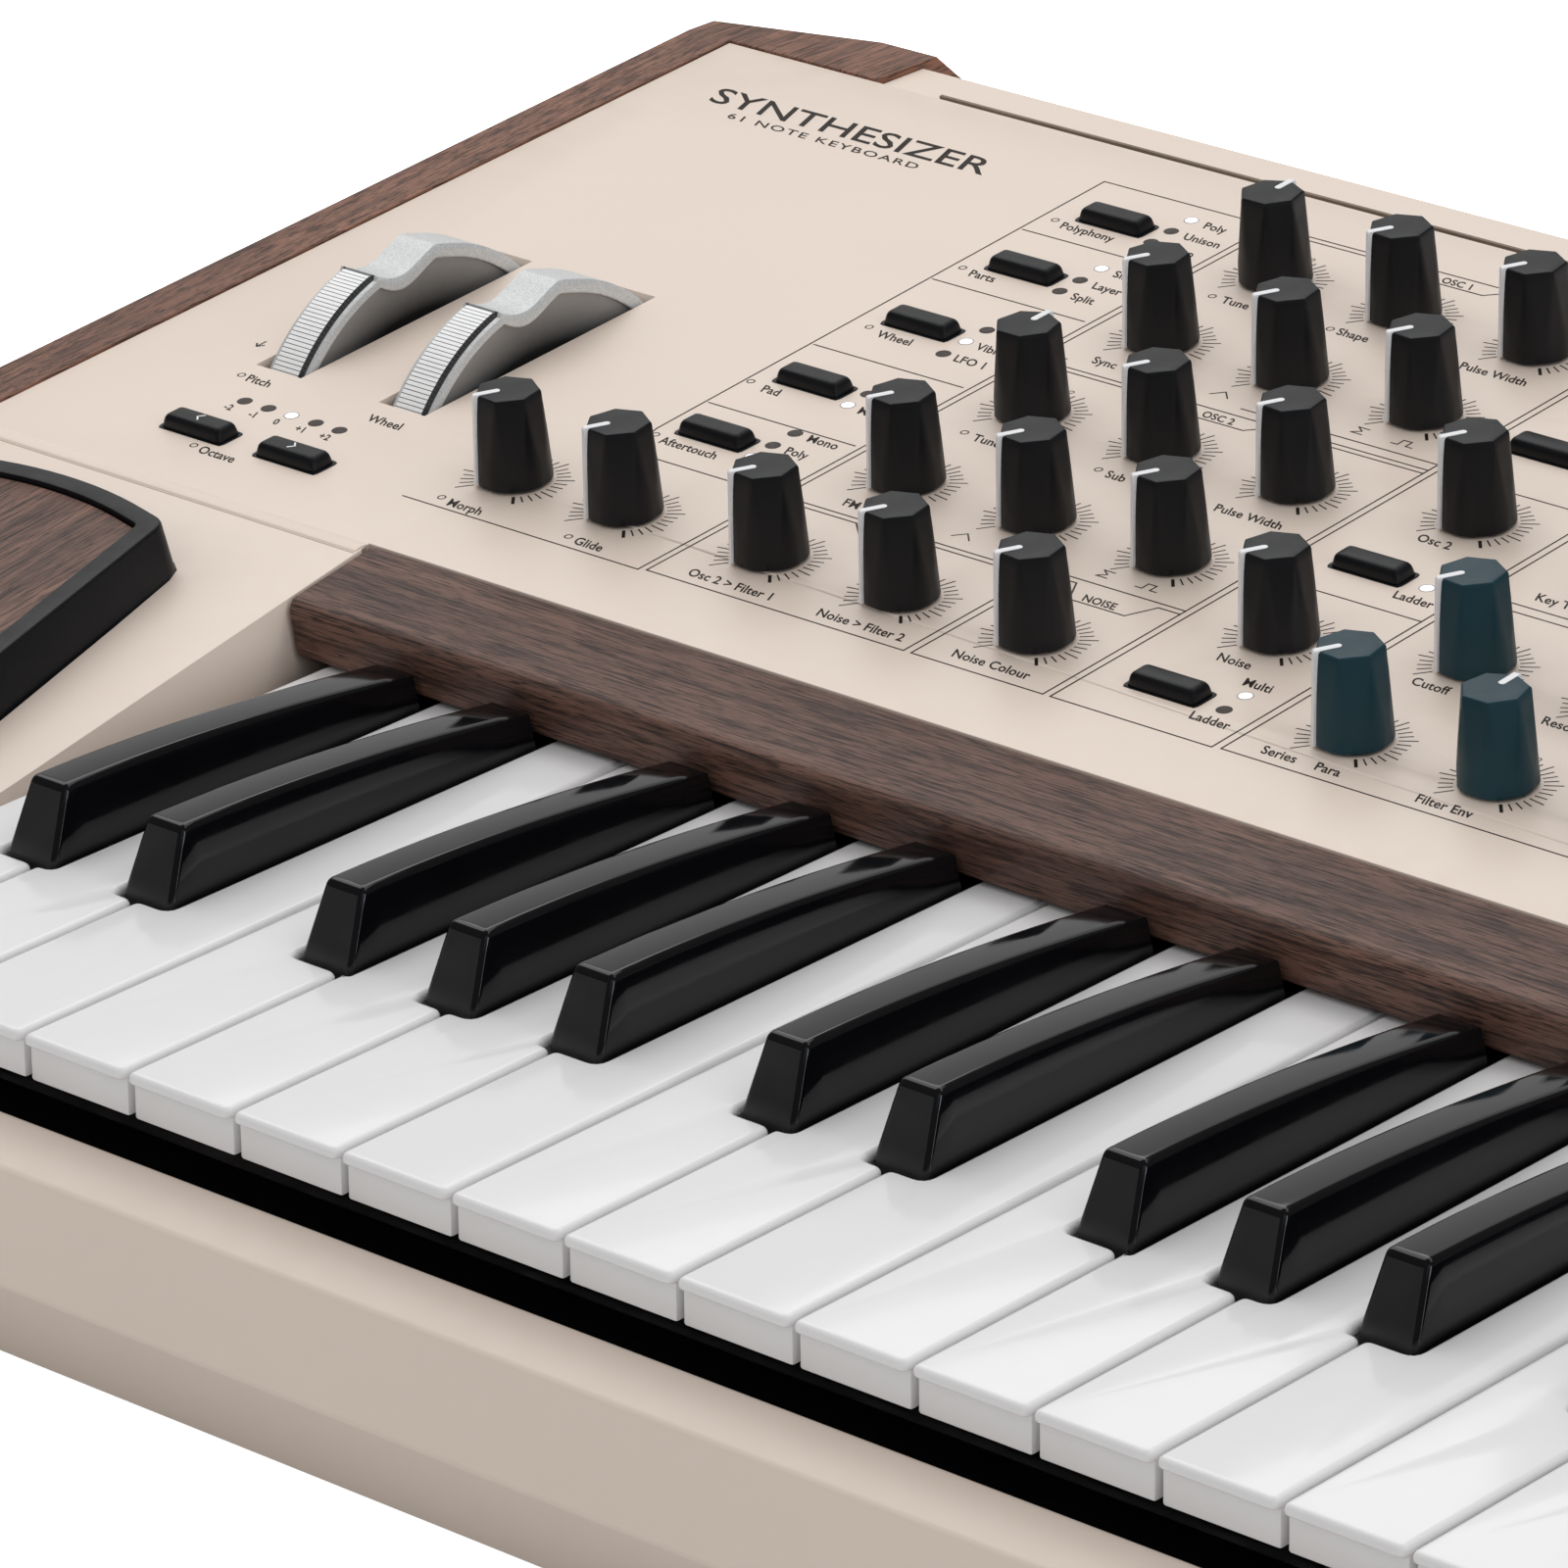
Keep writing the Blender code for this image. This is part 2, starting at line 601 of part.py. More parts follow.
def black_profile():
    """Side view of a black key: its crown falls in an arc towards the back."""
    crown = []
    for step in range(5):
        share = step / 4
        y = BLACK_FRONT + 6.0 + share * (BLACK_END - BLACK_FRONT - 6.0)
        crown.append((y, BLACK_TOP - 6.6 * share ** 1.8))
    return ([(BLACK_FRONT, BLACK_BASE), (BLACK_FRONT, 0.0), (BLACK_FRONT + 4.2, BLACK_TOP - 1.2)]
            + crown + [(BLACK_END + 0.5, -1.0), (WHITE_LENGTH, -1.0), (WHITE_LENGTH, BLACK_BASE)])


def black_key(octave, position):
    centre = octave * OCTAVE + OCTAVE * (position + 0.5) / 12
    shape = prism(black_profile(), -BLACK_HALF, BLACK_HALF, along='x')
    for vert in shape.verts:
        share = max(0.0, vert.co.z) / BLACK_TOP
        half = BLACK_HALF + (BLACK_TOP_HALF - BLACK_HALF) * share
        vert.co.x *= half / BLACK_HALF
    bmesh.ops.translate(shape, vec=(centre, 0, 0), verts=shape.verts)
    return shape


def key_piece(name, shape, finish):
    """A key or a bank of keys, with its origin on the hinge line."""
    y, z = KEY_PIVOT
    bmesh.ops.translate(shape, vec=(0, -y, -z), verts=shape.verts)
    return piece(name, shape, finish, Matrix.Translation(world(0, y, z)))


def merged(shapes):
    whole = bmesh.new()
    for shape in shapes:
        mesh = bpy.data.meshes.new("part")
        shape.to_mesh(mesh)
        shape.free()
        whole.from_mesh(mesh)
        bpy.data.meshes.remove(mesh)
    return whole


def key_bank(name, first_octave, last_octave):
    """Whole octaves of keys that share one carrier bar under their back ends."""
    first_white = first_octave * 7
    last_white = last_octave * 7 + 6
    if last_octave == OCTAVES - 1:
        last_white += 1
    left = first_white * KEY_PITCH + 1.2
    right = (last_white + 1) * KEY_PITCH - 1.2
    bar = boxes(((left, 187.0, -11.2), (right, 197.0, -4.5)))
    bank = key_piece(name, bar, "white_gloss")
    keys = [white_key(index) for index in range(first_white, last_white + 1)]
    for octave in range(first_octave, last_octave + 1):
        keys += [black_key(octave, position) for position in BLACK_STEPS]
    join(bank, merged(keys), flat())


def make_keyboard():
    key_bank("keys_octave_1", 0, 0)
    for step, name in enumerate(WHITE_NAMES):
        key_piece("key_" + name + "2", white_key(7 + step), "white_gloss")
    for position, name in zip(BLACK_STEPS, BLACK_NAMES):
        key_piece("key_" + name + "2", black_key(1, position), "black_gloss")
    key_bank("keys_octaves_3_to_5", 2, OCTAVES - 1)

    floor = INNER_FLOOR
    frame = [(198.0, -12.0), (214.0, -12.0), (214.0, floor),
             (18.0, floor), (18.0, -22.6), (4.0, -22.6)]
    folded_sheet("keybed_frame", strip(frame, 1.0, WHITE_KEYS * KEY_PITCH - 1.0), THIN_SHEET,
                 "steel", (0, 0, 1))
    felt = boxes(((0.5, 1.6, -20.7), (WHITE_KEYS * KEY_PITCH - 0.5, 15.0, -18.9)))
    piece("key_felt", felt, "felt", flat())
    sensors = boxes(((6.0, 120.0, -30.0), (WHITE_KEYS * KEY_PITCH - 6.0, 172.0, -28.4)))
    board = piece("key_sensor_board", sensors, "circuit_board", flat())
    posts = bmesh.new()
    for step in range(6):
        x = 30.0 + step * 155.0
        box(posts, (x, 140.0, floor + THIN_SHEET + GAP), (x + 8.0, 148.0, -29.0))
    join(board, posts, flat())


# ---------------------------------------------------------------- pad and wheels

def make_pad():
    place = on_deck(0.0, CREASE_Y)
    shape = prism(PAD_OUTLINE, -3.0, PAD_HEIGHT)
    for vert in shape.verts:
        if vert.co.z < 0:
            vert.co.xy = grown_point(PAD_OUTLINE, PAD_DRAFT, vert.co.xy)
    surround = piece("pad_surround", shape, "black_satin", place)
    join(surround, prism(grown(PAD_OUTLINE, PAD_FLANGE), -5.0, -SHEET - 0.6), place)
    cut(surround, prism(grown(PAD_OUTLINE, -PAD_RIM), PAD_FLOOR, 20.0), place)
    plate = prism(grown(PAD_OUTLINE, -PAD_RIM - GAP), PAD_FLOOR + PAD_TRAVEL_GAP, PAD_HEIGHT - 0.9)
    piece("pad_plate", plate, "walnut", place)


def wheel_outline():
    """Side view of a wheel: a ribbed grip, a thumb hollow, a hump and a smooth back."""
    points = []
    for degrees in range(-90, 91, 6):
        angle = math.radians(degrees)
        radius = WHEEL_RADIUS
        if -14 < degrees < 14:
            radius -= 3.6 * math.cos(math.radians(degrees) * 90 / 14)
        points.append((radius * math.sin(angle), radius * math.cos(angle)))
    points += [(14.0, -4.0), (8.0, -12.0), (-8.0, -12.0), (-14.0, -4.0)]
    return points


def wheel_axis():
    """The wheels' axle lies under the panel, square below the middle of their slots."""
    y = WHEEL_Y + WHEEL_DEPTH * math.sin(PANEL_ANGLE)
    z = panel_z(WHEEL_Y) - WHEEL_DEPTH * math.cos(PANEL_ANGLE)
    return y, z


def make_wheels():
    y, z = wheel_axis()
    tilt = Matrix.Rotation(PANEL_ANGLE, 4, 'X')
    for name, x in zip(("pitch_wheel", "mod_wheel"), WHEEL_X):
        shape = prism(wheel_outline(), -WHEEL_WIDTH / 2, WHEEL_WIDTH / 2, along='x')
        place = Matrix.Translation(world(x, y, z)) @ tilt
        wheel = piece(name, shape, "silver", place)
        bore = bmesh.new()
        rod(bore, WHEEL_BORE, -WHEEL_WIDTH, WHEEL_WIDTH, 0.0, 0.0)
        cut(wheel, bore, place)
    left = WHEEL_X[0] - 14.0
    right = WHEEL_X[1] + 14.0
    base = INNER_FLOOR
    cradle = piece("wheel_cradle", boxes(((left, y - 24, base), (right, y + 24, base + 2))),
                   "black_plastic", flat())
    middle = (WHEEL_X[0] + WHEEL_X[1]) / 2
    walls = boxes(((left, y - 8, base + 1), (left + 3, y + 8, z + 7)),
                  ((middle - 1.5, y - 8, base + 1), (middle + 1.5, y + 8, z + 7)),
                  ((right - 3, y - 8, base + 1), (right, y + 8, z + 7)))
    join(cradle, walls, flat())
    axle = bmesh.new()
    rod(axle, SHAFT_RADIUS, left + 1, right - 1, y, z)
    join(cradle, axle, flat())


# ---------------------------------------------------------------- controls

def left_knobs():
    """Knobs on the left board that stay with it."""
    places = [(x, y) for y in KNOB_ROWS[1:] for x in KNOB_COLUMNS]
    places += [(x, KNOB_ROWS[0]) for x in KNOB_COLUMNS[:2]]
    places += [(149.3, 223.7), (149.3, 279.0)]
    places += [(x, y) for y in KNOB_ROWS[2:] for x in (190.0, 220.0, 250.0)]
    places += [(213.6, 233.7), (243.7, 200.3), (243.7, 233.7)]
    return places


def right_knobs():
    return [(305.0 + 30.0 * step, y) for y in (281.0, 337.0) for step in range(8)]


def fixed_knobs():
    return left_knobs() + right_knobs()


def fader_places():
    return [FADER_X + step * FADER_PITCH for step in range(FADERS)]


def jack_places():
    return [JACK_X + step * JACK_PITCH for step in range(JACKS)]


def turning_knob(name, place, finish, radius, top_radius, height):
    """A knob on its own shaft, which reaches down through the panel."""
    shape = bmesh.new()
    cylinder(shape, radius, KNOB_LIFT, height, segments=16, top_radius=top_radius)
    knob = piece(name, shape, finish, place)
    shaft = bmesh.new()
    cylinder(shaft, SHAFT_RADIUS, -BOARD_DEPTH + 2.0, 2.0, segments=8)
    join(knob, shaft, place)


def make_knobs():
    for name, x, y, finish in MOVING_KNOBS:
        turning_knob(name, on_panel(x, y), finish, KNOB_RADIUS, KNOB_TOP_RADIUS, KNOB_HEIGHT)
    turning_knob("data_encoder", on_panel(*ENCODER), "black_satin",
                 ENCODER_RADIUS, ENCODER_RADIUS - 0.7, ENCODER_HEIGHT)


def knob_board(name, low_x, high_x, low_y, high_y, places):
    """A circuit board under the panel with the knobs that stand on it."""
    place = on_panel(0.0, CREASE_Y)
    slope = math.cos(PANEL_ANGLE)
    low = (low_x, (low_y - CREASE_Y) / slope, -BOARD_DEPTH)
    high = (high_x, (high_y - CREASE_Y) / slope, -BOARD_DEPTH + 1.6)
    board = piece(name, boxes((low, high)), "circuit_board", place)
    for bottom, top, radius, top_radius in ((-BOARD_DEPTH + 0.8, 2.0, SHAFT_RADIUS, SHAFT_RADIUS),
                                            (KNOB_LIFT, KNOB_HEIGHT, KNOB_RADIUS, KNOB_TOP_RADIUS)):
        stack = bmesh.new()
        for x, y in places:
            cylinder(stack, radius, bottom, top, x, (y - CREASE_Y) / slope, 8, top_radius=top_radius)
        join(board, stack, place)


def make_buttons():
    for name, x, y in BUTTONS:
        shape = bmesh.new()
        half_x = BUTTON_LENGTH / 2
        half_y = BUTTON_WIDTH / 2
        verts = box(shape, (-half_x, -half_y, -7.5), (half_x, half_y, BUTTON_HEIGHT))
        for vert in verts:
            if vert.co.z > 0:
                vert.co.x *= 0.88
                vert.co.y *= 0.80
        piece(name, shape, "black_satin", on_panel(x, y))


def make_faders():
    place = on_panel(0.0, FADER_Y)
    last = FADER_X + (FADERS - 1) * FADER_PITCH
    bar = boxes(((FADER_X - 4, -3, -8.0), (last + 4, 3, -5.0)))
    bank = piece("envelope_faders", bar, "black_satin", place)
    stems = bmesh.new()
    caps = bmesh.new()
    for x in fader_places():
        box(stems, (x - 0.8, -1.5, -6.0), (x + 0.8, 1.5, 3.0))
        verts = box(caps, (x - 3.6, -5.5, 1.2), (x + 3.6, 5.5, 7.5))
        for vert in verts:
            if vert.co.z > 5:
                vert.co.y *= 0.75
    join(bank, stems, place)
    join(bank, caps, place)


def make_matrix():
    low_x, high_x, low_y, high_y = MATRIX
    place = on_panel(0.0, CREASE_Y)
    slope = math.cos(PANEL_ANGLE)
    low_v = (low_y - CREASE_Y) / slope + 0.1
    high_v = (high_y - CREASE_Y) / slope - 0.1
    mat = piece("matrix_keypad", boxes(((low_x, low_v, -3.0), (high_x, high_v, -0.6))),
                "silicone", place)
    pads = bmesh.new()
    pitch_x = (high_x - low_x) / MATRIX_COLUMNS
    pitch_v = (high_v - low_v) / MATRIX_ROWS
    for column in range(MATRIX_COLUMNS):
        for row in range(MATRIX_ROWS):
            x = low_x + (column + 0.5) * pitch_x
            v = low_v + (row + 0.5) * pitch_v
            box(pads, (x - 6.6, v - 5.0, -1.5), (x + 6.6, v + 5.0, 1.6))
    join(mat, pads, place)
    low_x, high_x, low_y, high_y = DISPLAY
    low_v = (low_y - CREASE_Y) / slope + 0.1
    high_v = (high_y - CREASE_Y) / slope - 0.1
    screen = boxes(((low_x, low_v, -3.4), (high_x, high_v, -0.1)))
    piece("display_window", screen, "glass", place)


# ---------------------------------------------------------------- inside and rear

def make_electronics():
    base = INNER_FLOOR
    board = piece("main_board", boxes(((60.0, 235.0, base + 8.0), (780.0, 392.0, base + 9.6))),
                  "circuit_board", flat())
    extras = bmesh.new()
    for step in range(12):
        x = 80.0 + step * 57.0
        box(extras, (x, 262.0, base + 9.0), (x + 42.0, 340.0, base + 14.0))
    for x in (64.0, 410.0, 768.0):
        for y in (239.0, 384.0):
            box(extras, (x, y, base), (x + 6.0, y + 5.0, base + 9.0))
    join(board, extras, flat())
    supply = boxes(((-88.0, 296.0, base), (44.0, 386.0, -10.0)))
    piece("power_supply", supply, "steel", flat())


def make_rear_sockets():
    half_x, half_z = INLET_HALF
    shell = boxes(((INLET_X - half_x, 396.0, POWER_Z - half_z),
                   (INLET_X + half_x, BODY_REAR - 0.4, POWER_Z + half_z)))
    inlet = piece("power_inlet", shell, "black_plastic", flat())
    cavity = boxes(((INLET_X - half_x + 2.5, 404.0, POWER_Z - half_z + 2.5),
                    (INLET_X + half_x - 2.5, BODY_REAR + 5, POWER_Z + half_z - 2.5)))
    cut(inlet, cavity, flat())

    face = 6.5
    dip = 4.5
    half_x, half_z = SWITCH_HALF
    rocker = prism([(-8.0, -7.0), (face, -half_z), (dip, 0.0), (face, half_z), (-8.0, 7.0)],
                   -half_x, half_x, along='x')
    tilt = Matrix.Rotation(SWITCH_REST, 4, 'X')
    piece("power_switch", rocker, "black_plastic",
          Matrix.Translation(world(SWITCH_X, SWITCH_Y, POWER_Z)) @ tilt)

    frame_y = REAR_WALL - THIN_SHEET - GAP
    sockets = piece("rear_sockets", boxes(((JACK_X - 12, frame_y - 16, JACK_Z - 14),
                                           (USB_X + 14, frame_y - 14, JACK_Z + 10))),
                    "black_plastic", flat())
    nuts = bmesh.new()
    for x in jack_places():
        barrel(nuts, 6.0, x, frame_y - 15, REAR_WALL + 0.4, JACK_Z, 8)
    for x in DIN_X:
        barrel(nuts, 8.0, x, frame_y - 15, REAR_WALL + 0.3, JACK_Z, 12)
    box(nuts, (USB_X - 6.2, frame_y - 15, JACK_Z - 6.2), (USB_X + 6.2, REAR_WALL + 0.2, JACK_Z + 6.2))
    join(sockets, nuts, flat())
    bores = bmesh.new()
    for x in jack_places():
        barrel(bores, JACK_BORE, x, frame_y - 12, REAR_WALL + 4, JACK_Z, 8)
    for x in DIN_X:
        barrel(bores, DIN_BORE, x, frame_y - 8, REAR_WALL + 4, JACK_Z)
    box(bores, (USB_X - USB_HALF, frame_y - 10, JACK_Z - USB_HALF),
        (USB_X + USB_HALF, REAR_WALL + 4, JACK_Z + USB_HALF))
    cut(sockets, bores, flat())


clear_scene()
PARTS = new_collection("synthesizer")
CUTTERS = new_collection("cutters")
make_casing()
make_control_panel()
make_keyboard()
make_pad()
make_wheels()
make_knobs()
knob_board("left_knob_board", 30.0, 268.0, 190.0, 358.0, left_knobs())
knob_board("right_knob_board", 290.0, 530.0, 262.0, 356.0, right_knobs())
make_buttons()
make_faders()
make_matrix()
make_electronics()
make_rear_sockets()
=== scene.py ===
import math

import bmesh
import bpy
from mathutils import Matrix, Vector

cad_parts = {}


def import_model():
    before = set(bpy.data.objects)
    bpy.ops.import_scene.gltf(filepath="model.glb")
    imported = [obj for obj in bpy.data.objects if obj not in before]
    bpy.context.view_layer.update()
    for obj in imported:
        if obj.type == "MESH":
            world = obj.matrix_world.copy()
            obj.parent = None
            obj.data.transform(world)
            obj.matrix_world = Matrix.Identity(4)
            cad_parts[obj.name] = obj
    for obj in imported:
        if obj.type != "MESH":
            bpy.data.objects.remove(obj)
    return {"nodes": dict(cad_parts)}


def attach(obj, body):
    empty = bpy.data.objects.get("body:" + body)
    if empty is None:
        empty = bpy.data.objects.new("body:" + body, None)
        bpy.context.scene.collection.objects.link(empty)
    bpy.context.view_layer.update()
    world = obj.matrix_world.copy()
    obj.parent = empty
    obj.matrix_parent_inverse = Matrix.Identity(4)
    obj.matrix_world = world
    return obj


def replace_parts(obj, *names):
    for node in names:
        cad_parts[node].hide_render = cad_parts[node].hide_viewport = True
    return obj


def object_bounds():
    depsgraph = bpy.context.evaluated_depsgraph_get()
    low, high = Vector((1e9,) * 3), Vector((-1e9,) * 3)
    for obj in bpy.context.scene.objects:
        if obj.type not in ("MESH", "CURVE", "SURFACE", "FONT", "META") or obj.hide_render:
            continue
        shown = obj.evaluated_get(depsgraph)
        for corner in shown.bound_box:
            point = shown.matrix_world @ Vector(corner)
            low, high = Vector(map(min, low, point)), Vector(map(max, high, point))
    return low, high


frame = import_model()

CAD_LOW, CAD_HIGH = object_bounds()
MM = 0.001
BODY_LEFT = -121.0
BODY_FRONT = -15.0
HEIGHT_UNDER_KEYS = 62.8
ORIGIN = CAD_LOW - Vector((BODY_LEFT, BODY_FRONT, -HEIGHT_UNDER_KEYS)) * MM
BODY_RIGHT = BODY_LEFT + (CAD_HIGH.x - CAD_LOW.x) / MM
CASE = "case"

# Keyboard
KEY_PITCH = 23.3
OCTAVE = 7 * KEY_PITCH
WHITE_KEYS = 36
KEY_GAP = 0.9
WHITE_DEPTH = 8.6
WHITE_LENGTH = 206.0
LIP_DEPTH = 1.9
LIP_REACH = 1.3
NOTCH_FRONT = 50.0
NOTCH_HALF = 6.5
BLACK_HALF = 5.6
BLACK_TOP_HALF = 4.2
BLACK_FRONT = 51.6
BLACK_SLOPE = 4.9
BLACK_CORNER = 1.3
BLACK_EDGE = 1.2
BLACK_TOP = 12.2
BLACK_END = 140.5
BLACK_BASE = -6.8
BLACK_STEPS = (1, 3, 6, 8, 10)
WHITE_NAMES = ("c", "d", "e", "f", "g", "a", "b")
BLACK_NAMES = ("cs", "ds", "fs", "gs", "as")

# Panel and deck planes, which meet at the crease
PANEL_ANGLE = math.radians(4.63)
DECK_ANGLE = math.atan(0.1256)
CREASE_Y = 164.1
CREASE_Z = 13.1
# where the painted shadow strip in the gap behind the panel's rear edge lies
SHADOW_GAP_Y = 377.9
SHADOW_GAP_START = -56.3
PANEL_COS = math.cos(PANEL_ANGLE)
WALL_X = -0.6
WALL_Z = -0.5
WALL_LEAN = 0.22
WALL_TURN = 0.055

# Knobs
KNOB_RADIUS = 7.0
KNOB_TOP_RADIUS = 6.05
KNOB_HEIGHT = 17.8
KNOB_LIFT = 0.4
KNOB_FACETS = 7
KNOB_SHARP = math.radians(17.0)
ENCODER = (715.0, 343.0)
ENCODER_RADIUS = 8.5
SHAFT_RADIUS = 3.0
LOW_POINTER = -149.0
KNOB_ROWS = (201.0, 237.9, 272.6, 309.4, 342.7)
KNOB_COLUMNS = (54.0, 83.9, 114.2)

# Wheels
WHEEL_RADIUS = 40.0
WHEEL_DEPTH = 27.5
WHEEL_WIDTH = 9.8
WHEEL_Y = 243.6
WHEEL_X = (-75.8, -44.8)
RIB_START = -78.0
RIB_END = -12.3
RIB_PITCH = 1.3
RIB_DEPTH = -0.45
RIB_STEPS = ((0.0, 0.0), (1.08, 0.0), (1.13, RIB_DEPTH), (1.25, RIB_DEPTH))
HOLLOW_END = 11.0
HOLLOW_DEPTH = 3.3
CREST_END = 17.0
CREST_RISE = 0.25
SHOULDER_DROP = 0.9
HUB_RADIUS = 9.0
SMOOTH_RISE = 0.88
SMOOTH_SIDE_SHARE = 0.6

# Touch pad, measured from the crease on the deck
PAD_FRONT = [(-16.2, -112.0), (-20.0, -118.0), (-60.0, -121.0), (-96.0, -118.0),
             (-101.0, -112.0)]
PAD_HEIGHT = 9.8
PAD_DRAFT = 1.7
PAD_RIM = 4.2
PAD_FLOOR = 4.0

FADERS = 13
FADER_X = 345.0
FADER_PITCH = 13.0
FADER_Y = 222.0
MATRIX = (565.0, 775.0, 192.0, 312.0)
DISPLAY = (585.0, 675.0, 326.0, 360.0)
BUTTON_LENGTH = 14.6
BUTTON_WIDTH = 5.6
BUTTON_HEIGHT = 2.7

REAR_WALL = 419.5
JACK_PLACES = [90.0 + 22.0 * step for step in range(8)]
JACK_Z = -16.0
DIN_PLACES = (300.0, 326.0, 352.0)
USB_X = 384.0
POWER_Z = -20.0
INLET_X = -50.0
SWITCH_X = -6.0
SWITCH_Y = 412.0
SWITCH_HALF = (8.5, 9.8)
SWITCH_REST = math.radians(-6.0)


def world(x, y, z):
    return ORIGIN + Vector((x, y, z)) * MM


def panel_z(y):
    return CREASE_Z + (y - CREASE_Y) * math.tan(PANEL_ANGLE)


def flat():
    return Matrix.Translation(world(0, 0, 0))


def on_panel(x, y, turn=0.0):
    """A spot on the control panel with its own z square to the surface."""
    lean = Matrix.Rotation(PANEL_ANGLE, 4, 'X')
    return Matrix.Translation(world(x, y, panel_z(y))) @ lean @ Matrix.Rotation(turn, 4, 'Z')


PANEL = on_panel(0.0, CREASE_Y)


def on_deck():
    return Matrix.Translation(world(0, CREASE_Y, CREASE_Z)) @ Matrix.Rotation(DECK_ANGLE, 4, 'X')


def along_panel(y):
    """Distance up the panel's own surface from the crease."""
    return (y - CREASE_Y) / PANEL_COS


# ---------------------------------------------------------------- materials

def add_node(tree, kind, settings=None, **inputs):
    """A shader node. inputs are values, or sockets of other nodes to link from."""
    made = tree.nodes.new(kind)
    for name, value in (settings or {}).items():
        setattr(made, name, value)
    for name, value in inputs.items():
        key = int(name[1:]) if name[0] == "_" else name.replace("_", " ")
        socket = made.inputs[key]
        if isinstance(value, bpy.types.NodeSocket):
            tree.links.new(value, socket)
        else:
            socket.default_value = value
    return made


def new_look(name, colour, roughness, metallic=0.0, **values):
    material = bpy.data.materials.new(name)
    material.use_nodes = True
    shader = material.node_tree.nodes["Principled BSDF"]
    shader.inputs["Base Color"].default_value = (*colour, 1.0)
    shader.inputs["Roughness"].default_value = roughness
    shader.inputs["Metallic"].default_value = metallic
    for key, value in values.items():
        shader.inputs[key.replace("_", " ")].default_value = value
    return material, material.node_tree, shader


def place_of(tree, stretch=(1.0, 1.0, 1.0)):
    """Object coordinates in metres, stretched by a mapping."""
    coordinates = add_node(tree, "ShaderNodeTexCoord")
    return add_node(tree, "ShaderNodeMapping", Vector=coordinates.outputs["Object"],
                    Scale=stretch).outputs["Vector"]


def noise(tree, where, scale, detail=2.0, roughness=0.5, distortion=0.0):
    return add_node(tree, "ShaderNodeTexNoise", Vector=where, Scale=scale, Detail=detail,
                    Roughness=roughness, Distortion=distortion).outputs["Fac"]


def spread(tree, value, low, high, start=0.3, end=0.7):
    """Maps a value from start..end to low..high."""
    ranged = add_node(tree, "ShaderNodeMapRange", Value=value, From_Min=start, From_Max=end,
                      To_Min=low, To_Max=high)
    return ranged.outputs["Result"]


def blended(tree, share, first, second, mode='MIX'):
    """Colour between two others, which are tuples or sockets."""
    mixer = add_node(tree, "ShaderNodeMix", {"data_type": 'RGBA', "blend_type": mode})
    for socket, value in ((mixer.inputs[0], share), (mixer.inputs[6], first),
                          (mixer.inputs[7], second)):
        if isinstance(value, bpy.types.NodeSocket):
            tree.links.new(value, socket)
        elif isinstance(value, tuple):
            socket.default_value = (*value, 1.0)
        else:
            socket.default_value = value
    return mixer.outputs[2]


def bumped(tree, shader, height, strength, distance):
    made = add_node(tree, "ShaderNodeBump", Height=height, Strength=strength, Distance=distance)
    tree.links.new(made.outputs["Normal"], shader.inputs["Normal"])


def varied(name, colour, other, roughness, scale, grain=2500.0, grain_height=0.000004,
           metallic=0.0, wear=200.0, **values):
    """A finish with slow colour drift, patchy gloss and a fine surface grain."""
    material, tree, shader = new_look(name, colour, roughness[0], metallic, **values)
    where = place_of(tree)
    drift = noise(tree, where, scale, 3.0)
    tree.links.new(blended(tree, spread(tree, drift, 0.0, 1.0), colour, other),
                   shader.inputs["Base Color"])
    patches = noise(tree, where, wear, 4.0)
    tree.links.new(spread(tree, patches, roughness[0], roughness[1]), shader.inputs["Roughness"])
    bumped(tree, shader, noise(tree, where, grain, 2.0), 1.0, grain_height)
    return material


def walnut(name, grain_axis, tone=(1.0, 1.0, 1.0)):
    """Oiled walnut: broad bands, fine parallel streaks and short dark pores along one axis."""
    light = tuple(a * b for a, b in zip((0.190, 0.098, 0.070), tone))
    middle = tuple(a * b for a, b in zip((0.135, 0.068, 0.049), tone))
    dark = tuple(a * b for a, b in zip((0.040, 0.021, 0.016), tone))
    material, tree, shader = new_look(name, middle, 0.5, Specular_IOR_Level=0.35)

    def stretched(lengthwise, across):
        scale = [across, across, across]
        scale[grain_axis] = lengthwise
        return place_of(tree, tuple(scale))

    bands = noise(tree, stretched(8.0, 130.0), 1.0, 4.0, 0.6, 0.4)
    patches = noise(tree, stretched(30.0, 520.0), 1.0, 4.0, 0.6, 0.3)
    streaks = noise(tree, stretched(75.0, 1700.0), 1.0, 4.0, 0.65, 0.3)
    pores = noise(tree, stretched(210.0, 4000.0), 1.0, 2.0, 0.6)
    base = blended(tree, spread(tree, bands, 0.0, 1.0, 0.38, 0.62), light, middle)
    shaded = blended(tree, spread(tree, patches, 0.0, 0.6, 0.46, 0.66), base, dark)
    streaked = blended(tree, spread(tree, streaks, 0.0, 0.9, 0.49, 0.62), shaded, dark)
    open_pores = spread(tree, pores, 0.0, 0.8, 0.55, 0.65)
    tree.links.new(blended(tree, open_pores, streaked, (0.016, 0.009, 0.007)),
                   shader.inputs["Base Color"])
    tree.links.new(spread(tree, streaks, 0.44, 0.60), shader.inputs["Roughness"])
    bumped(tree, shader, spread(tree, pores, 1.0, 0.0, 0.50, 0.68), 0.45, 0.00006)
    return material


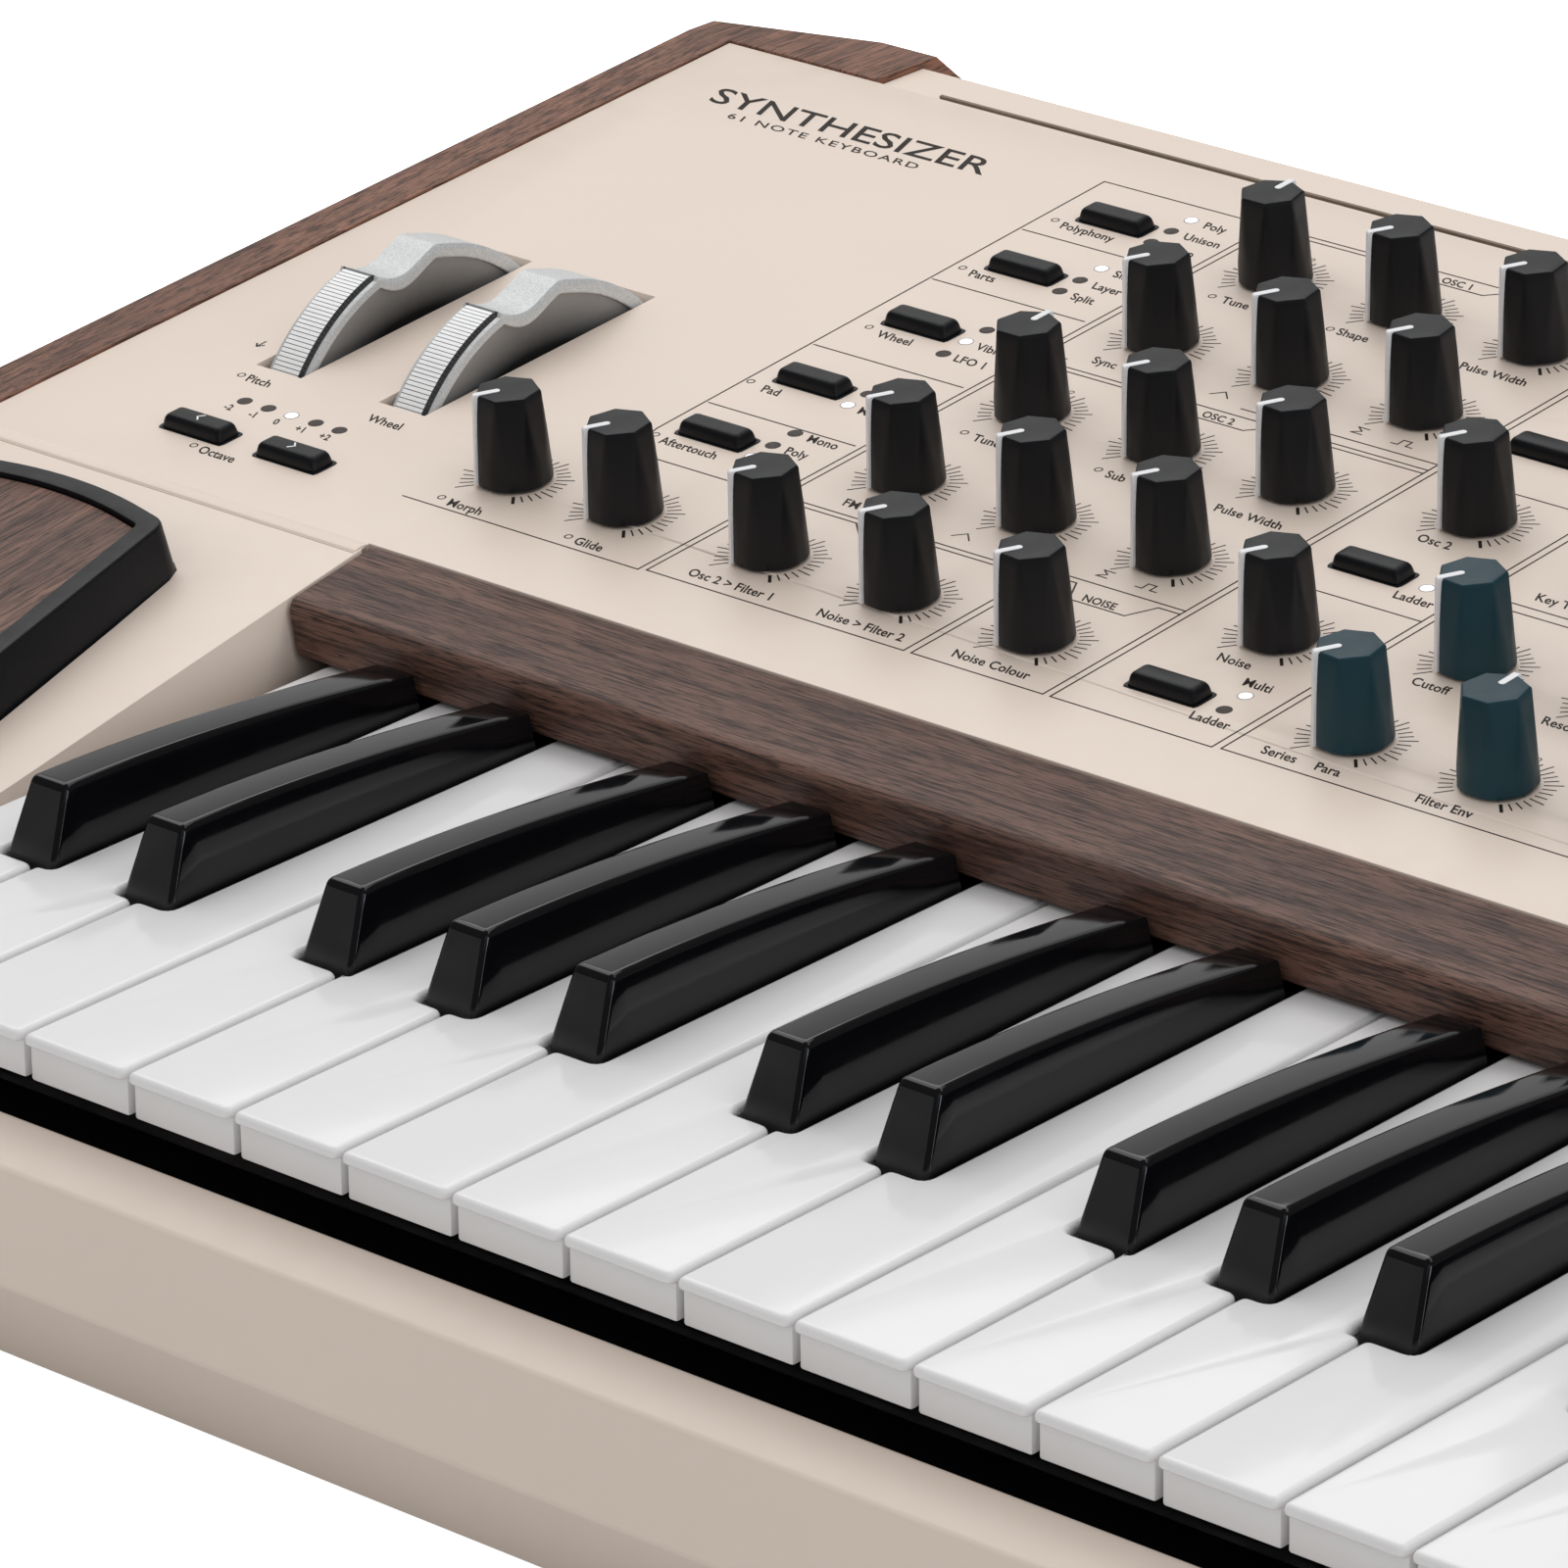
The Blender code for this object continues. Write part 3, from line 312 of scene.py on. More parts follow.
def sparkle_silver(name, low, high, metallic, contrast):
    """Painted metal whose fine flakes catch the light one by one."""
    material, tree, shader = new_look(name, high, 0.4, metallic)
    where = place_of(tree)
    flakes = add_node(tree, "ShaderNodeTexVoronoi", Vector=where, Scale=5200.0)
    tone = add_node(tree, "ShaderNodeSeparateColor", Color=flakes.outputs["Color"])
    share = spread(tree, tone.outputs[0], 0.5 - contrast, 0.5 + contrast, 0.0, 1.0)
    tree.links.new(blended(tree, share, low, high), shader.inputs["Base Color"])
    tree.links.new(spread(tree, tone.outputs[1], 0.34, 0.50, 0.0, 1.0), shader.inputs["Roughness"])
    bumped(tree, shader, tone.outputs[2], contrast * 0.5, 0.00001)
    return material


def disc_look(name):
    """Side of a wheel, with painted shade that darkens it towards its axle."""
    material, tree, shader = new_look(name, (0.2, 0.2, 0.2), 0.5, 0.2)
    where = place_of(tree)
    flat_place = add_node(tree, "ShaderNodeVectorMath", {"operation": 'MULTIPLY'}, _0=where,
                          _1=(0.0, 1.0, 1.0))
    distance = add_node(tree, "ShaderNodeVectorMath", {"operation": 'LENGTH'},
                        _0=flat_place.outputs["Vector"]).outputs["Value"]
    # painted shade: near-black at the axle, blending to grey towards the rim
    share = spread(tree, distance, 0.0, 1.0, 0.0280, 0.0375)
    tree.links.new(blended(tree, share, (0.020, 0.020, 0.021), (0.34, 0.33, 0.32)),
                   shader.inputs["Base Color"])
    tree.links.new(spread(tree, noise(tree, where, 900.0, 3.0), 0.45, 0.60),
                   shader.inputs["Roughness"])
    return material


def felt_look(name):
    material, tree, shader = new_look(name, (0.002, 0.002, 0.002), 0.95, Specular_IOR_Level=0.1)
    where = place_of(tree)
    fuzz = noise(tree, where, 1500.0, 5.0, 0.7)
    tree.links.new(blended(tree, spread(tree, fuzz, 0.0, 1.0), (0.001, 0.001, 0.001),
                           (0.004, 0.004, 0.004)), shader.inputs["Base Color"])
    tree.links.new(spread(tree, fuzz, 0.85, 1.0), shader.inputs["Roughness"])
    bumped(tree, shader, fuzz, 0.9, 0.0003)
    return material


def board_look(name):
    material, tree, shader = new_look(name, (0.01, 0.09, 0.04), 0.4)
    where = place_of(tree)
    traces = add_node(tree, "ShaderNodeTexBrick", Vector=where, Scale=160.0,
                      Color1=(0.010, 0.085, 0.040, 1.0), Color2=(0.012, 0.105, 0.050, 1.0),
                      Mortar=(0.035, 0.170, 0.080, 1.0), Mortar_Size=0.03)
    tree.links.new(traces.outputs["Color"], shader.inputs["Base Color"])
    tree.links.new(spread(tree, noise(tree, where, 300.0), 0.35, 0.5), shader.inputs["Roughness"])
    return material


def lamp_look(name, colour, strength):
    material, tree, shader = new_look(name, colour, 0.6, Specular_IOR_Level=0.25)
    shader.inputs["Emission Color"].default_value = (*colour, 1.0)
    shader.inputs["Emission Strength"].default_value = strength
    where = place_of(tree)
    cloud = noise(tree, where, 900.0, 2.0)
    darker = tuple(channel * 0.85 for channel in colour)
    tree.links.new(blended(tree, cloud, colour, darker), shader.inputs["Base Color"])
    tree.links.new(spread(tree, cloud, 0.55, 0.75), shader.inputs["Roughness"])
    return material


def screen_look(name):
    """A dark display behind glass, with a faint fine grid of picture cells."""
    material, tree, shader = new_look(name, (0.004, 0.005, 0.007), 0.08, Coat_Weight=0.5)
    where = place_of(tree)
    cells = add_node(tree, "ShaderNodeTexChecker", Vector=where, Scale=2400.0,
                     Color1=(0.003, 0.004, 0.006, 1.0), Color2=(0.008, 0.010, 0.014, 1.0))
    tree.links.new(cells.outputs["Color"], shader.inputs["Base Color"])
    tree.links.new(spread(tree, noise(tree, where, 90.0, 3.0), 0.05, 0.14),
                   shader.inputs["Roughness"])
    return material


LOOKS = {
    "cream_paint": varied("cream_paint", (0.775, 0.655, 0.565), (0.750, 0.632, 0.545),
                          (0.36, 0.46), 9.0, 1800.0, 0.0000035),
    "walnut_x": walnut("walnut_along_x", 0),
    "walnut_pad": walnut("walnut_pad", 1, (1.20, 1.18, 1.15)),
    "walnut_y": walnut("walnut_along_y", 1, (1.55, 1.35, 1.15)),
    "white_gloss": varied("white_gloss", (0.795, 0.785, 0.785), (0.778, 0.768, 0.768),
                          (0.12, 0.18), 40.0, 700.0, 0.0000008, Coat_Weight=0.15,
                          Coat_Roughness=0.04, Specular_IOR_Level=0.3),
    "black_gloss": varied("black_gloss", (0.0026, 0.0027, 0.0034), (0.0040, 0.0040, 0.0050),
                          (0.05, 0.10), 50.0, 500.0, 0.0000006, Specular_IOR_Level=0.42),
    "black_front": varied("black_front", (0.014, 0.014, 0.015), (0.020, 0.020, 0.021),
                          (0.30, 0.40), 50.0, 2500.0, 0.000004),
    "black_satin": varied("black_satin", (0.0028, 0.0036, 0.0056), (0.0042, 0.0051, 0.0074),
                          (0.36, 0.46), 80.0, 3200.0, 0.000003, Specular_IOR_Level=0.32),
    "teal_satin": varied("teal_satin", (0.0035, 0.0360, 0.0520), (0.0050, 0.0430, 0.0600),
                         (0.36, 0.46), 80.0, 3200.0, 0.000003, Specular_IOR_Level=0.32),
    "silver": sparkle_silver("silver_flake", (0.48, 0.49, 0.49), (0.78, 0.79, 0.79), 0.25, 0.35),
    # wheel sides, with painted shade that darkens them towards the axle
    "silver_side": disc_look("silver_side"),
    # painted shade on the floors of the grip's grooves
    "rib_shade": varied("rib_shade", (0.24, 0.24, 0.24), (0.30, 0.30, 0.30), (0.5, 0.7), 300.0),
    # painted highlight: the grip's rib tops, near-white
    "rib_highlight": varied("rib_highlight", (0.94, 0.94, 0.94), (0.90, 0.90, 0.90), (0.35, 0.5), 300.0),
    # painted shadow on the end walls of the grip's proud ribs
    "groove": varied("groove_shadow", (0.035, 0.035, 0.036), (0.050, 0.050, 0.051), (0.6, 0.75),
                     300.0),
    "felt": felt_look("felt"),
    "rubber": varied("rubber", (0.016, 0.016, 0.016), (0.026, 0.026, 0.025), (0.65, 0.85),
                     60.0, 1500.0, 0.00002),
    "silicone": varied("silicone", (0.50, 0.51, 0.53), (0.42, 0.43, 0.45), (0.45, 0.62),
                       120.0, 1500.0, 0.00001),
    "glass": screen_look("glass"),
    "steel": varied("steel", (0.42, 0.42, 0.43), (0.50, 0.50, 0.51), (0.28, 0.45), 120.0,
                    1400.0, 0.000006, metallic=0.9),
    "circuit_board": board_look("circuit_board"),
    "black_plastic": varied("black_plastic", (0.018, 0.018, 0.018), (0.026, 0.026, 0.026),
                            (0.42, 0.58), 90.0, 2200.0, 0.00001),
    "ink": varied("dark_ink", (0.022, 0.016, 0.013), (0.032, 0.024, 0.019), (0.5, 0.65),
                  400.0, Specular_IOR_Level=0.2),
    "white_ink": varied("white_ink", (0.82, 0.82, 0.83), (0.74, 0.74, 0.76), (0.35, 0.5),
                        400.0),
    "lamp_lit": lamp_look("lamp_lit", (0.95, 0.95, 1.0), 0.6),
    "lamp_dark": lamp_look("lamp_dark", (0.085, 0.070, 0.064), 0.0),
    # rims of lit lamps: the lamp's light painted on as a lighter grey
    "lamp_ring": varied("lamp_ring", (0.30, 0.28, 0.27), (0.36, 0.34, 0.32), (0.5, 0.6), 300.0),
    "gap_shadow": varied("gap_shadow", (0.19, 0.140, 0.105), (0.24, 0.180, 0.135), (0.7, 0.8),
                         90.0),
    "seam_shadow": varied("seam_shadow", (0.45, 0.35, 0.28), (0.50, 0.39, 0.31), (0.7, 0.8),
                          90.0),
}


# ---------------------------------------------------------------- shapes

def add_piece(name, shape, place, looks, body, smooth=30.0):
    """One visible piece from a shape in millimetres, riding on a body of the frame."""
    bmesh.ops.scale(shape, vec=(MM, MM, MM), verts=shape.verts)
    mesh = bpy.data.meshes.new(name)
    shape.to_mesh(mesh)
    shape.free()
    return add_mesh(name, mesh, place, looks, body, smooth)


def add_mesh(name, mesh, place, looks, body, smooth=30.0):
    if not mesh.materials:
        for look in looks:
            mesh.materials.append(LOOKS[look])
        mesh.shade_smooth()
        mesh.set_sharp_from_angle(angle=math.radians(smooth))
    item = bpy.data.objects.new(name, mesh)
    bpy.context.scene.collection.objects.link(item)
    item.matrix_world = place
    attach(item, body)
    return item


def stacked(layers):
    """Rings from (outline, z) layers."""
    return [[(x, y, z) for x, y in outline] for outline, z in layers]


def circle(radius, z, segments, x=0.0, y=0.0):
    turns = [math.tau * step / segments for step in range(segments)]
    return [(x + radius * math.cos(turn), y + radius * math.sin(turn), z) for turn in turns]


def faced_out(shape):
    bmesh.ops.recalc_face_normals(shape, faces=shape.faces)


def loft(shape, rings, closed=False, material=0):
    """Joins rings of points, each with the same count, by quads."""
    rows = [[shape.verts.new(point) for point in ring] for ring in rings]
    pairs = list(zip(rows, rows[1:]))
    if closed:
        pairs.append((rows[-1], rows[0]))
    for low, high in pairs:
        count = len(low)
        for index in range(count):
            after = (index + 1) % count
            face = shape.faces.new((low[index], low[after], high[after], high[index]))
            face.material_index = material
    if not closed:
        shape.faces.new(list(reversed(rows[0]))).material_index = material
        shape.faces.new(rows[-1]).material_index = material
    return rows


def turned(shape, profile, segments=24, x=0.0, y=0.0, material=0):
    """A solid of revolution about z from (radius, z) points, from the bottom to the top."""
    rings = [circle(radius, z, segments, x, y) for radius, z in profile]
    loft(shape, rings, material=material)


def tube(shape, outer, inner, low, high, segments=24, x=0.0, y=0.0, edge=0.2, material=0):
    """A ring with softened edges."""
    profile = [(inner, low), (outer - edge, low), (outer, low + edge), (outer, high - edge),
               (outer - edge, high), (inner + edge, high), (inner, high - edge)]
    rings = [circle(radius, z, segments, x, y) for radius, z in profile]
    loft(shape, rings, closed=True, material=material)


def rounded(outline, radius, steps=4):
    """The outline with its corners turned into arcs. radius is one value or one per corner."""
    points = []
    count = len(outline)
    for index, corner in enumerate(outline):
        size = radius[index] if isinstance(radius, (list, tuple)) else radius
        here = Vector(corner)
        before = Vector(outline[index - 1]) - here
        after = Vector(outline[(index + 1) % count]) - here
        turn = before.angle(after)
        reach = min(size / math.tan(turn / 2), before.length * 0.48, after.length * 0.48)
        if size <= 0 or turn > math.radians(179) or reach < 0.01:
            points.append(here)
            continue
        start = here + before.normalized() * reach
        end = here + after.normalized() * reach
        for step in range(steps + 1):
            share = step / steps
            first = start.lerp(here, share)
            second = here.lerp(end, share)
            points.append(first.lerp(second, share))
    return [tuple(point) for point in points]


def doubled_area(outline):
    """Twice the outline's area, above zero where it runs anticlockwise."""
    return sum(outline[i - 1][0] * outline[i][1] - outline[i][0] * outline[i - 1][1]
               for i in range(len(outline)))


def inset(outline, margin):
    """The outline moved inwards by the margin, square to each side."""
    points = []
    count = len(outline)
    sign = 1.0 if doubled_area(outline) > 0 else -1.0
    for index in range(count):
        here = Vector(outline[index])
        before = (here - Vector(outline[index - 1])).normalized()
        after = (Vector(outline[(index + 1) % count]) - here).normalized()
        normals = [Vector((-side.y, side.x)) * sign for side in (before, after)]
        bisector = normals[0] + normals[1]
        if bisector.length < 0.01:
            points.append(tuple(here))
            continue
        bisector.normalize()
        points.append(tuple(here + bisector * (margin / max(0.4, bisector.dot(normals[0])))))
    return points


def slab(shape, outline, low, high, edge=0.0, bottom_edge=0.0, steps=3, material=0):
    """A flat outline with a thickness and rounded top and bottom edges."""
    layers = []
    for step in range(steps if bottom_edge else 0):
        angle = math.pi / 2 * step / steps
        layers.append((bottom_edge * (1 - math.sin(angle)),
                       low + bottom_edge * (1 - math.cos(angle))))
    layers.append((0.0, low + bottom_edge))
    layers.append((0.0, high - edge))
    for step in range(1, steps + 1 if edge else 0):
        angle = math.pi / 2 * step / steps
        layers.append((edge * (1 - math.cos(angle)), high - edge * (1 - math.sin(angle))))
    rings = stacked([(inset(outline, margin) if margin else outline, z)
                     for margin, z in layers])
    if doubled_area(outline) < 0:
        rings = [list(reversed(ring)) for ring in rings]
    loft(shape, rings, material=material)


def block(shape, low, high, edge=0.3, segments=2):
    """A box with bevelled edges."""
    size = [high[i] - low[i] for i in range(3)]
    middle = [(high[i] + low[i]) / 2 for i in range(3)]
    place = Matrix.Translation(middle) @ Matrix.Diagonal((*size, 1.0))
    before = set(shape.edges)
    bmesh.ops.create_cube(shape, size=1.0, matrix=place)
    if edge:
        fresh = [item for item in shape.edges if item not in before]
        bmesh.ops.bevel(shape, geom=fresh, offset=edge, segments=segments, affect='EDGES',
                        clamp_overlap=True)


def rectangle(low_x, high_x, low_y, high_y):
    return [(low_x, low_y), (high_x, low_y), (high_x, high_y), (low_x, high_y)]


# ---------------------------------------------------------------- case

def finish_node(name, look, bevel=0.0, angle=30.0, flatten=True):
    """Gives a carried-over node its material, and rounds its edges where asked."""
    item = frame["nodes"][name]
    item.data.materials.clear()
    item.data.materials.append(LOOKS[look])
    if bevel:
        weld = item.modifiers.new("Weld", 'WELD')
        weld.merge_threshold = 0.00001
        if flatten:
            thin = item.modifiers.new("Planar", 'DECIMATE')
            thin.decimate_type = 'DISSOLVE'
            thin.angle_limit = math.radians(0.5)
        edges = item.modifiers.new("Edges", 'BEVEL')
        edges.width = bevel * MM
        edges.segments = 3
        edges.limit_method = 'ANGLE'
        edges.angle_limit = math.radians(angle)
        edges.harden_normals = True
        edges.use_clamp_overlap = True
    for face in item.data.polygons:
        face.use_smooth = True
    item.data.set_sharp_from_angle(angle=math.radians(30.0))


# Carried-over nodes: name, look, bevel width and the least angle between bevelled faces
CASE_NODES = (("front_fascia", "cream_paint", 1.6, 10.0), ("rear_panel", "cream_paint", 0.7, 10.0),
              ("left_cheek", "walnut_y", 0.9), ("right_cheek", "walnut_y", 0.9),
              ("ribbon_rail", "walnut_x", 1.0, 12.0), ("base_tray", "steel", 0.4),
              ("keybed_frame", "steel"), ("key_felt", "felt", 0.8),
              ("wheel_cradle", "black_plastic"), ("main_board", "circuit_board"),
              ("key_sensor_board", "circuit_board"), ("power_supply", "steel", 0.8),
              ("power_inlet", "black_plastic", 0.5), ("foot_front_left", "rubber", 1.2),
              ("foot_front_right", "rubber", 1.2), ("foot_rear_left", "rubber", 1.2),
              ("foot_rear_right", "rubber", 1.2))


def finish_case():
    finish_node("control_panel", "cream_paint", 0.7, flatten=False)
    for node in CASE_NODES:
        finish_node(*node)


# ---------------------------------------------------------------- keys

def white_outline(index):
    """Plan of one white key, with its notches for the black keys beside it."""
    step = index % 7
    octave_x = (index // 7) * OCTAVE
    left = index * KEY_PITCH + KEY_GAP / 2
    right = (index + 1) * KEY_PITCH - KEY_GAP / 2
    centres = [octave_x + OCTAVE * (position + 0.5) / 12 for position in BLACK_STEPS]
    rear_left = left
    rear_right = right
    if step in (1, 2, 4, 5, 6):
        rear_left = centres[{1: 0, 2: 1, 4: 2, 5: 3, 6: 4}[step]] + NOTCH_HALF
    if step in (0, 1, 3, 4, 5) and index != WHITE_KEYS - 1:
        rear_right = centres[{0: 0, 1: 1, 3: 2, 4: 3, 5: 4}[step]] - NOTCH_HALF
    corners = [((left, 0.0), 1.6), ((right, 0.0), 1.6)]
    if rear_right != right:
        corners += [((right, NOTCH_FRONT), 1.8), ((rear_right, NOTCH_FRONT), 2.0)]
    corners += [((rear_right, WHITE_LENGTH), 0.0), ((rear_left, WHITE_LENGTH), 0.0)]
    if rear_left != left:
        corners += [((rear_left, NOTCH_FRONT), 2.0), ((left, NOTCH_FRONT), 1.8)]
    return [corner for corner, _ in corners], [size for _, size in corners]


def white_key(name, index, body):
    """A moulded key: a top plate whose lip hangs over a body that is set back."""
    corners, radii = white_outline(index)
    shape = bmesh.new()
    slab(shape, rounded(corners, radii), -LIP_DEPTH, 0.0, edge=1.15, bottom_edge=0.35, steps=5)
    lower = inset(corners, 0.22)
    lower = [(x, y + LIP_REACH if y < 1.0 else y) for x, y in lower]
    slab(shape, rounded(lower, 0.5, 2), -WHITE_DEPTH, -LIP_DEPTH + 0.1, bottom_edge=0.4, steps=2)
    return add_piece(name, shape, flat(), ["white_gloss"], body, 40.0)


def black_crown(y):
    """Height of a black key's ridge, which falls towards the back."""
    share = max(0.0, (y - BLACK_FRONT - BLACK_SLOPE) / (BLACK_END - BLACK_FRONT - BLACK_SLOPE))
    return BLACK_TOP - 6.6 * share ** 1.8


def black_level(z, shrink):
    """One level of a black key: half of its plan, from the front's middle to the back."""
    half = BLACK_HALF + (BLACK_TOP_HALF - BLACK_HALF) * max(0.0, z) / BLACK_TOP - shrink
    front = BLACK_FRONT + BLACK_SLOPE * max(0.0, z) / BLACK_TOP + shrink
    radius = max(0.3, BLACK_CORNER - shrink)
    plan = [(0.0, front)]
    for step in range(6):
        angle = math.pi / 2 * step / 5
        plan.append((half - radius + radius * math.sin(angle),
                     front + radius - radius * math.cos(angle)))
    first = BLACK_FRONT + BLACK_SLOPE + 3.0
    for step in range(13):
        plan.append((half, first + (BLACK_END - first) * step / 12 - (shrink if step == 12 else 0)))
    return [(x, y, z * black_crown(y) / BLACK_TOP if z > 0 else z) for x, y in plan]


def black_key(name, centre, body):
    """A tapered key with a sloping front, rounded edges and a crown that falls to the back."""
    shape = bmesh.new()
    levels = [(BLACK_BASE + 1.0, 0.0), (0.0, 0.0)]
    levels += [((BLACK_TOP - BLACK_EDGE) * step / 4, 0.0) for step in (1, 2, 3, 4)]
    for step in range(1, 6):
        angle = math.pi / 2 * step / 5
        levels.append((BLACK_TOP - BLACK_EDGE * (1 - math.sin(angle)),
                       BLACK_EDGE * (1 - math.cos(angle))))
    rows = []
    for z, shrink in levels:
        half = black_level(z, shrink)
        ring = [(centre + x, y, height) for x, y, height in half]
        ring += [(centre - x, y, height) for x, y, height in reversed(half[1:])]
        rows.append([shape.verts.new(point) for point in ring])
    count = len(rows[0])
    for low, high in zip(rows, rows[1:]):
        for index in range(count):
            after = (index + 1) % count
            shape.faces.new((low[index], low[after], high[after], high[index]))
    top = rows[-1]
    shape.faces.new((top[0], top[1], top[-1]))
    for index in range(1, count // 2):
        shape.faces.new((top[index], top[index + 1], top[-index - 1], top[-index]))
    shape.faces.new(list(reversed(rows[0])))
    block(shape, (centre - BLACK_HALF, BLACK_END - 2.0, BLACK_BASE + 1.0),
          (centre + BLACK_HALF, WHITE_LENGTH, -1.0), 0.3)
    faced_out(shape)
    for face in shape.faces:
        if face.normal.y < -0.9 and face.calc_center_median().y < BLACK_FRONT + 6.0:
            face.material_index = 1
    return add_piece(name, shape, flat(), ["black_gloss", "black_front"], body,
                     50.0)


def carrier(name, first, last, body):
    shape = bmesh.new()
    block(shape, (first * KEY_PITCH + 1.2, 187.0, -11.2),
          (last * KEY_PITCH - 1.2, 197.0, -8.7), 0.4)
    return add_piece(name, shape, flat(), ["black_plastic"], body)


def make_keys():
    banks = {0: "keys_octave_1", 2: "keys_octaves_3_to_5"}
    for octave in range(5):
        for step, name in enumerate(WHITE_NAMES):
            own = "key_" + name + "2"
            body = own if octave == 1 else banks[0 if octave == 0 else 2]
            label = "white_" + name + str(octave + 1)
            key = white_key(label, octave * 7 + step, body)
            if octave == 1:
                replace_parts(key, own)
        for position, name in zip(BLACK_STEPS, BLACK_NAMES):
            own = "key_" + name + "2"
            body = own if octave == 1 else banks[0 if octave == 0 else 2]
            centre = octave * OCTAVE + OCTAVE * (position + 0.5) / 12
            key = black_key("black_" + name + str(octave + 1), centre, body)
            if octave == 1:
                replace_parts(key, own)
    white_key("white_c6", WHITE_KEYS - 1, banks[2])
    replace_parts(carrier("carrier_low", 0, 7, banks[0]), banks[0])
    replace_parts(carrier("carrier_high", 14, 36, banks[2]), banks[2])


# ---------------------------------------------------------------- knobs

def knob_mesh(name, looks, radius=KNOB_RADIUS, top_radius=KNOB_TOP_RADIUS, height=KNOB_HEIGHT):
    """A round cone with flat facets cut into it, a pointer line and its shaft.

    The pointer is at +y, on a corner between two facets.
    """
    shape = bmesh.new()
    segments = KNOB_FACETS * 12
    facet = math.tau / KNOB_FACETS
    rim = 0.55
    foot = 0.45
    levels = [(KNOB_LIFT, foot), (KNOB_LIFT + 0.07, foot * 0.5), (KNOB_LIFT + 0.2, foot * 0.16),
              (KNOB_LIFT + foot, 0.0)]
    body_low = KNOB_LIFT + foot
    body_high = height - rim
    steps = 12
    for step in range(1, steps + 1):
        levels.append((body_low + (body_high - body_low) * step / steps, 0.0))
    levels += [(height - rim * 0.5, rim * 0.14), (height - rim * 0.14, rim * 0.5), (height, rim)]

    def reach(z, shrink, angle):
        share = (z - KNOB_LIFT) / (height - KNOB_LIFT)
        round_radius = radius + (top_radius - radius) * share
        apothem_top = top_radius * math.cos(facet / 2)
        flat_start = 0.2
        cut_share = max(0.0, (share - flat_start) / (1 - flat_start))
        apothem = radius + (apothem_top - radius) * (0.12 + 0.88 * min(1.0, cut_share))
        local = (angle + facet / 2) % facet - facet / 2
        local = abs(local) - facet / 2
        return min(round_radius, apothem / math.cos(local)) - shrink

    rings = []
    for z, shrink in levels:
        ring = []
        for step in range(segments):
            angle = math.tau * step / segments
            size = reach(z, shrink, angle)
            ring.append((-size * math.sin(angle), size * math.cos(angle), z))
        rings.append(ring)
    rings.append([(x * 0.5, y * 0.5, height) for x, y, _ in rings[-1]])
    loft(shape, rings)
    turned(shape, [(SHAFT_RADIUS, -9.0), (SHAFT_RADIUS, KNOB_LIFT + 0.4)], 16)

    side_proud = 0.42
    top_proud = 0.12
    half = 0.65
    sunk = 0.9
    path = []
    for z in (KNOB_LIFT + 0.25, KNOB_LIFT + 4.0, KNOB_LIFT + 8.0, height - 4.0, height - 0.35):
        size = reach(z, 0.0, 0.0) + side_proud
        path.append((size, z, size - sunk, z))
    edge = reach(height, 0.0, 0.0)
    path += [(edge + side_proud - 0.12, height - 0.02, edge - 1.0, height - 0.5),
             (edge + side_proud - 0.4, height + top_proud, edge - 1.2, height - 0.5)]
    path += [(top_radius * share, height + top_proud, top_radius * share, height - 0.5)
             for share in (0.75, 0.5, 0.34)]
    end = top_radius * 0.34
    rings = [[(-half, y, z), (half, y, z), (half, inner, inner_z), (-half, inner, inner_z)]
             for y, z, inner, inner_z in path]
    for step in range(1, 5):
        angle = math.pi / 2 * step / 4
        width = half * math.cos(angle) + 0.02
        y = end - half * math.sin(angle)
        rings.append([(-width, y, height + top_proud), (width, y, height + top_proud),
                      (width, y, height - 0.5), (-width, y, height - 0.5)])
    loft(shape, rings, material=1)
    faced_out(shape)
    bmesh.ops.scale(shape, vec=(MM, MM, MM), verts=shape.verts)
    mesh = bpy.data.meshes.new(name)
    shape.to_mesh(mesh)
    shape.free()
    for look in looks:
        mesh.materials.append(LOOKS[look])
    mesh.shade_smooth()
    mesh.set_sharp_from_angle(angle=KNOB_SHARP)
    return mesh


KNOBS = []


def add_knob(name, x, y, colour, degrees, body=CASE):
    """degrees is the pointer's turn from twelve o'clock, clockwise."""
    turn = -math.radians(degrees)
    knob = add_mesh(name, KNOB_MESHES[colour], on_panel(x, y, turn), [], body)
    KNOBS.append((x, y, abs(degrees) < 1.0))
    return knob


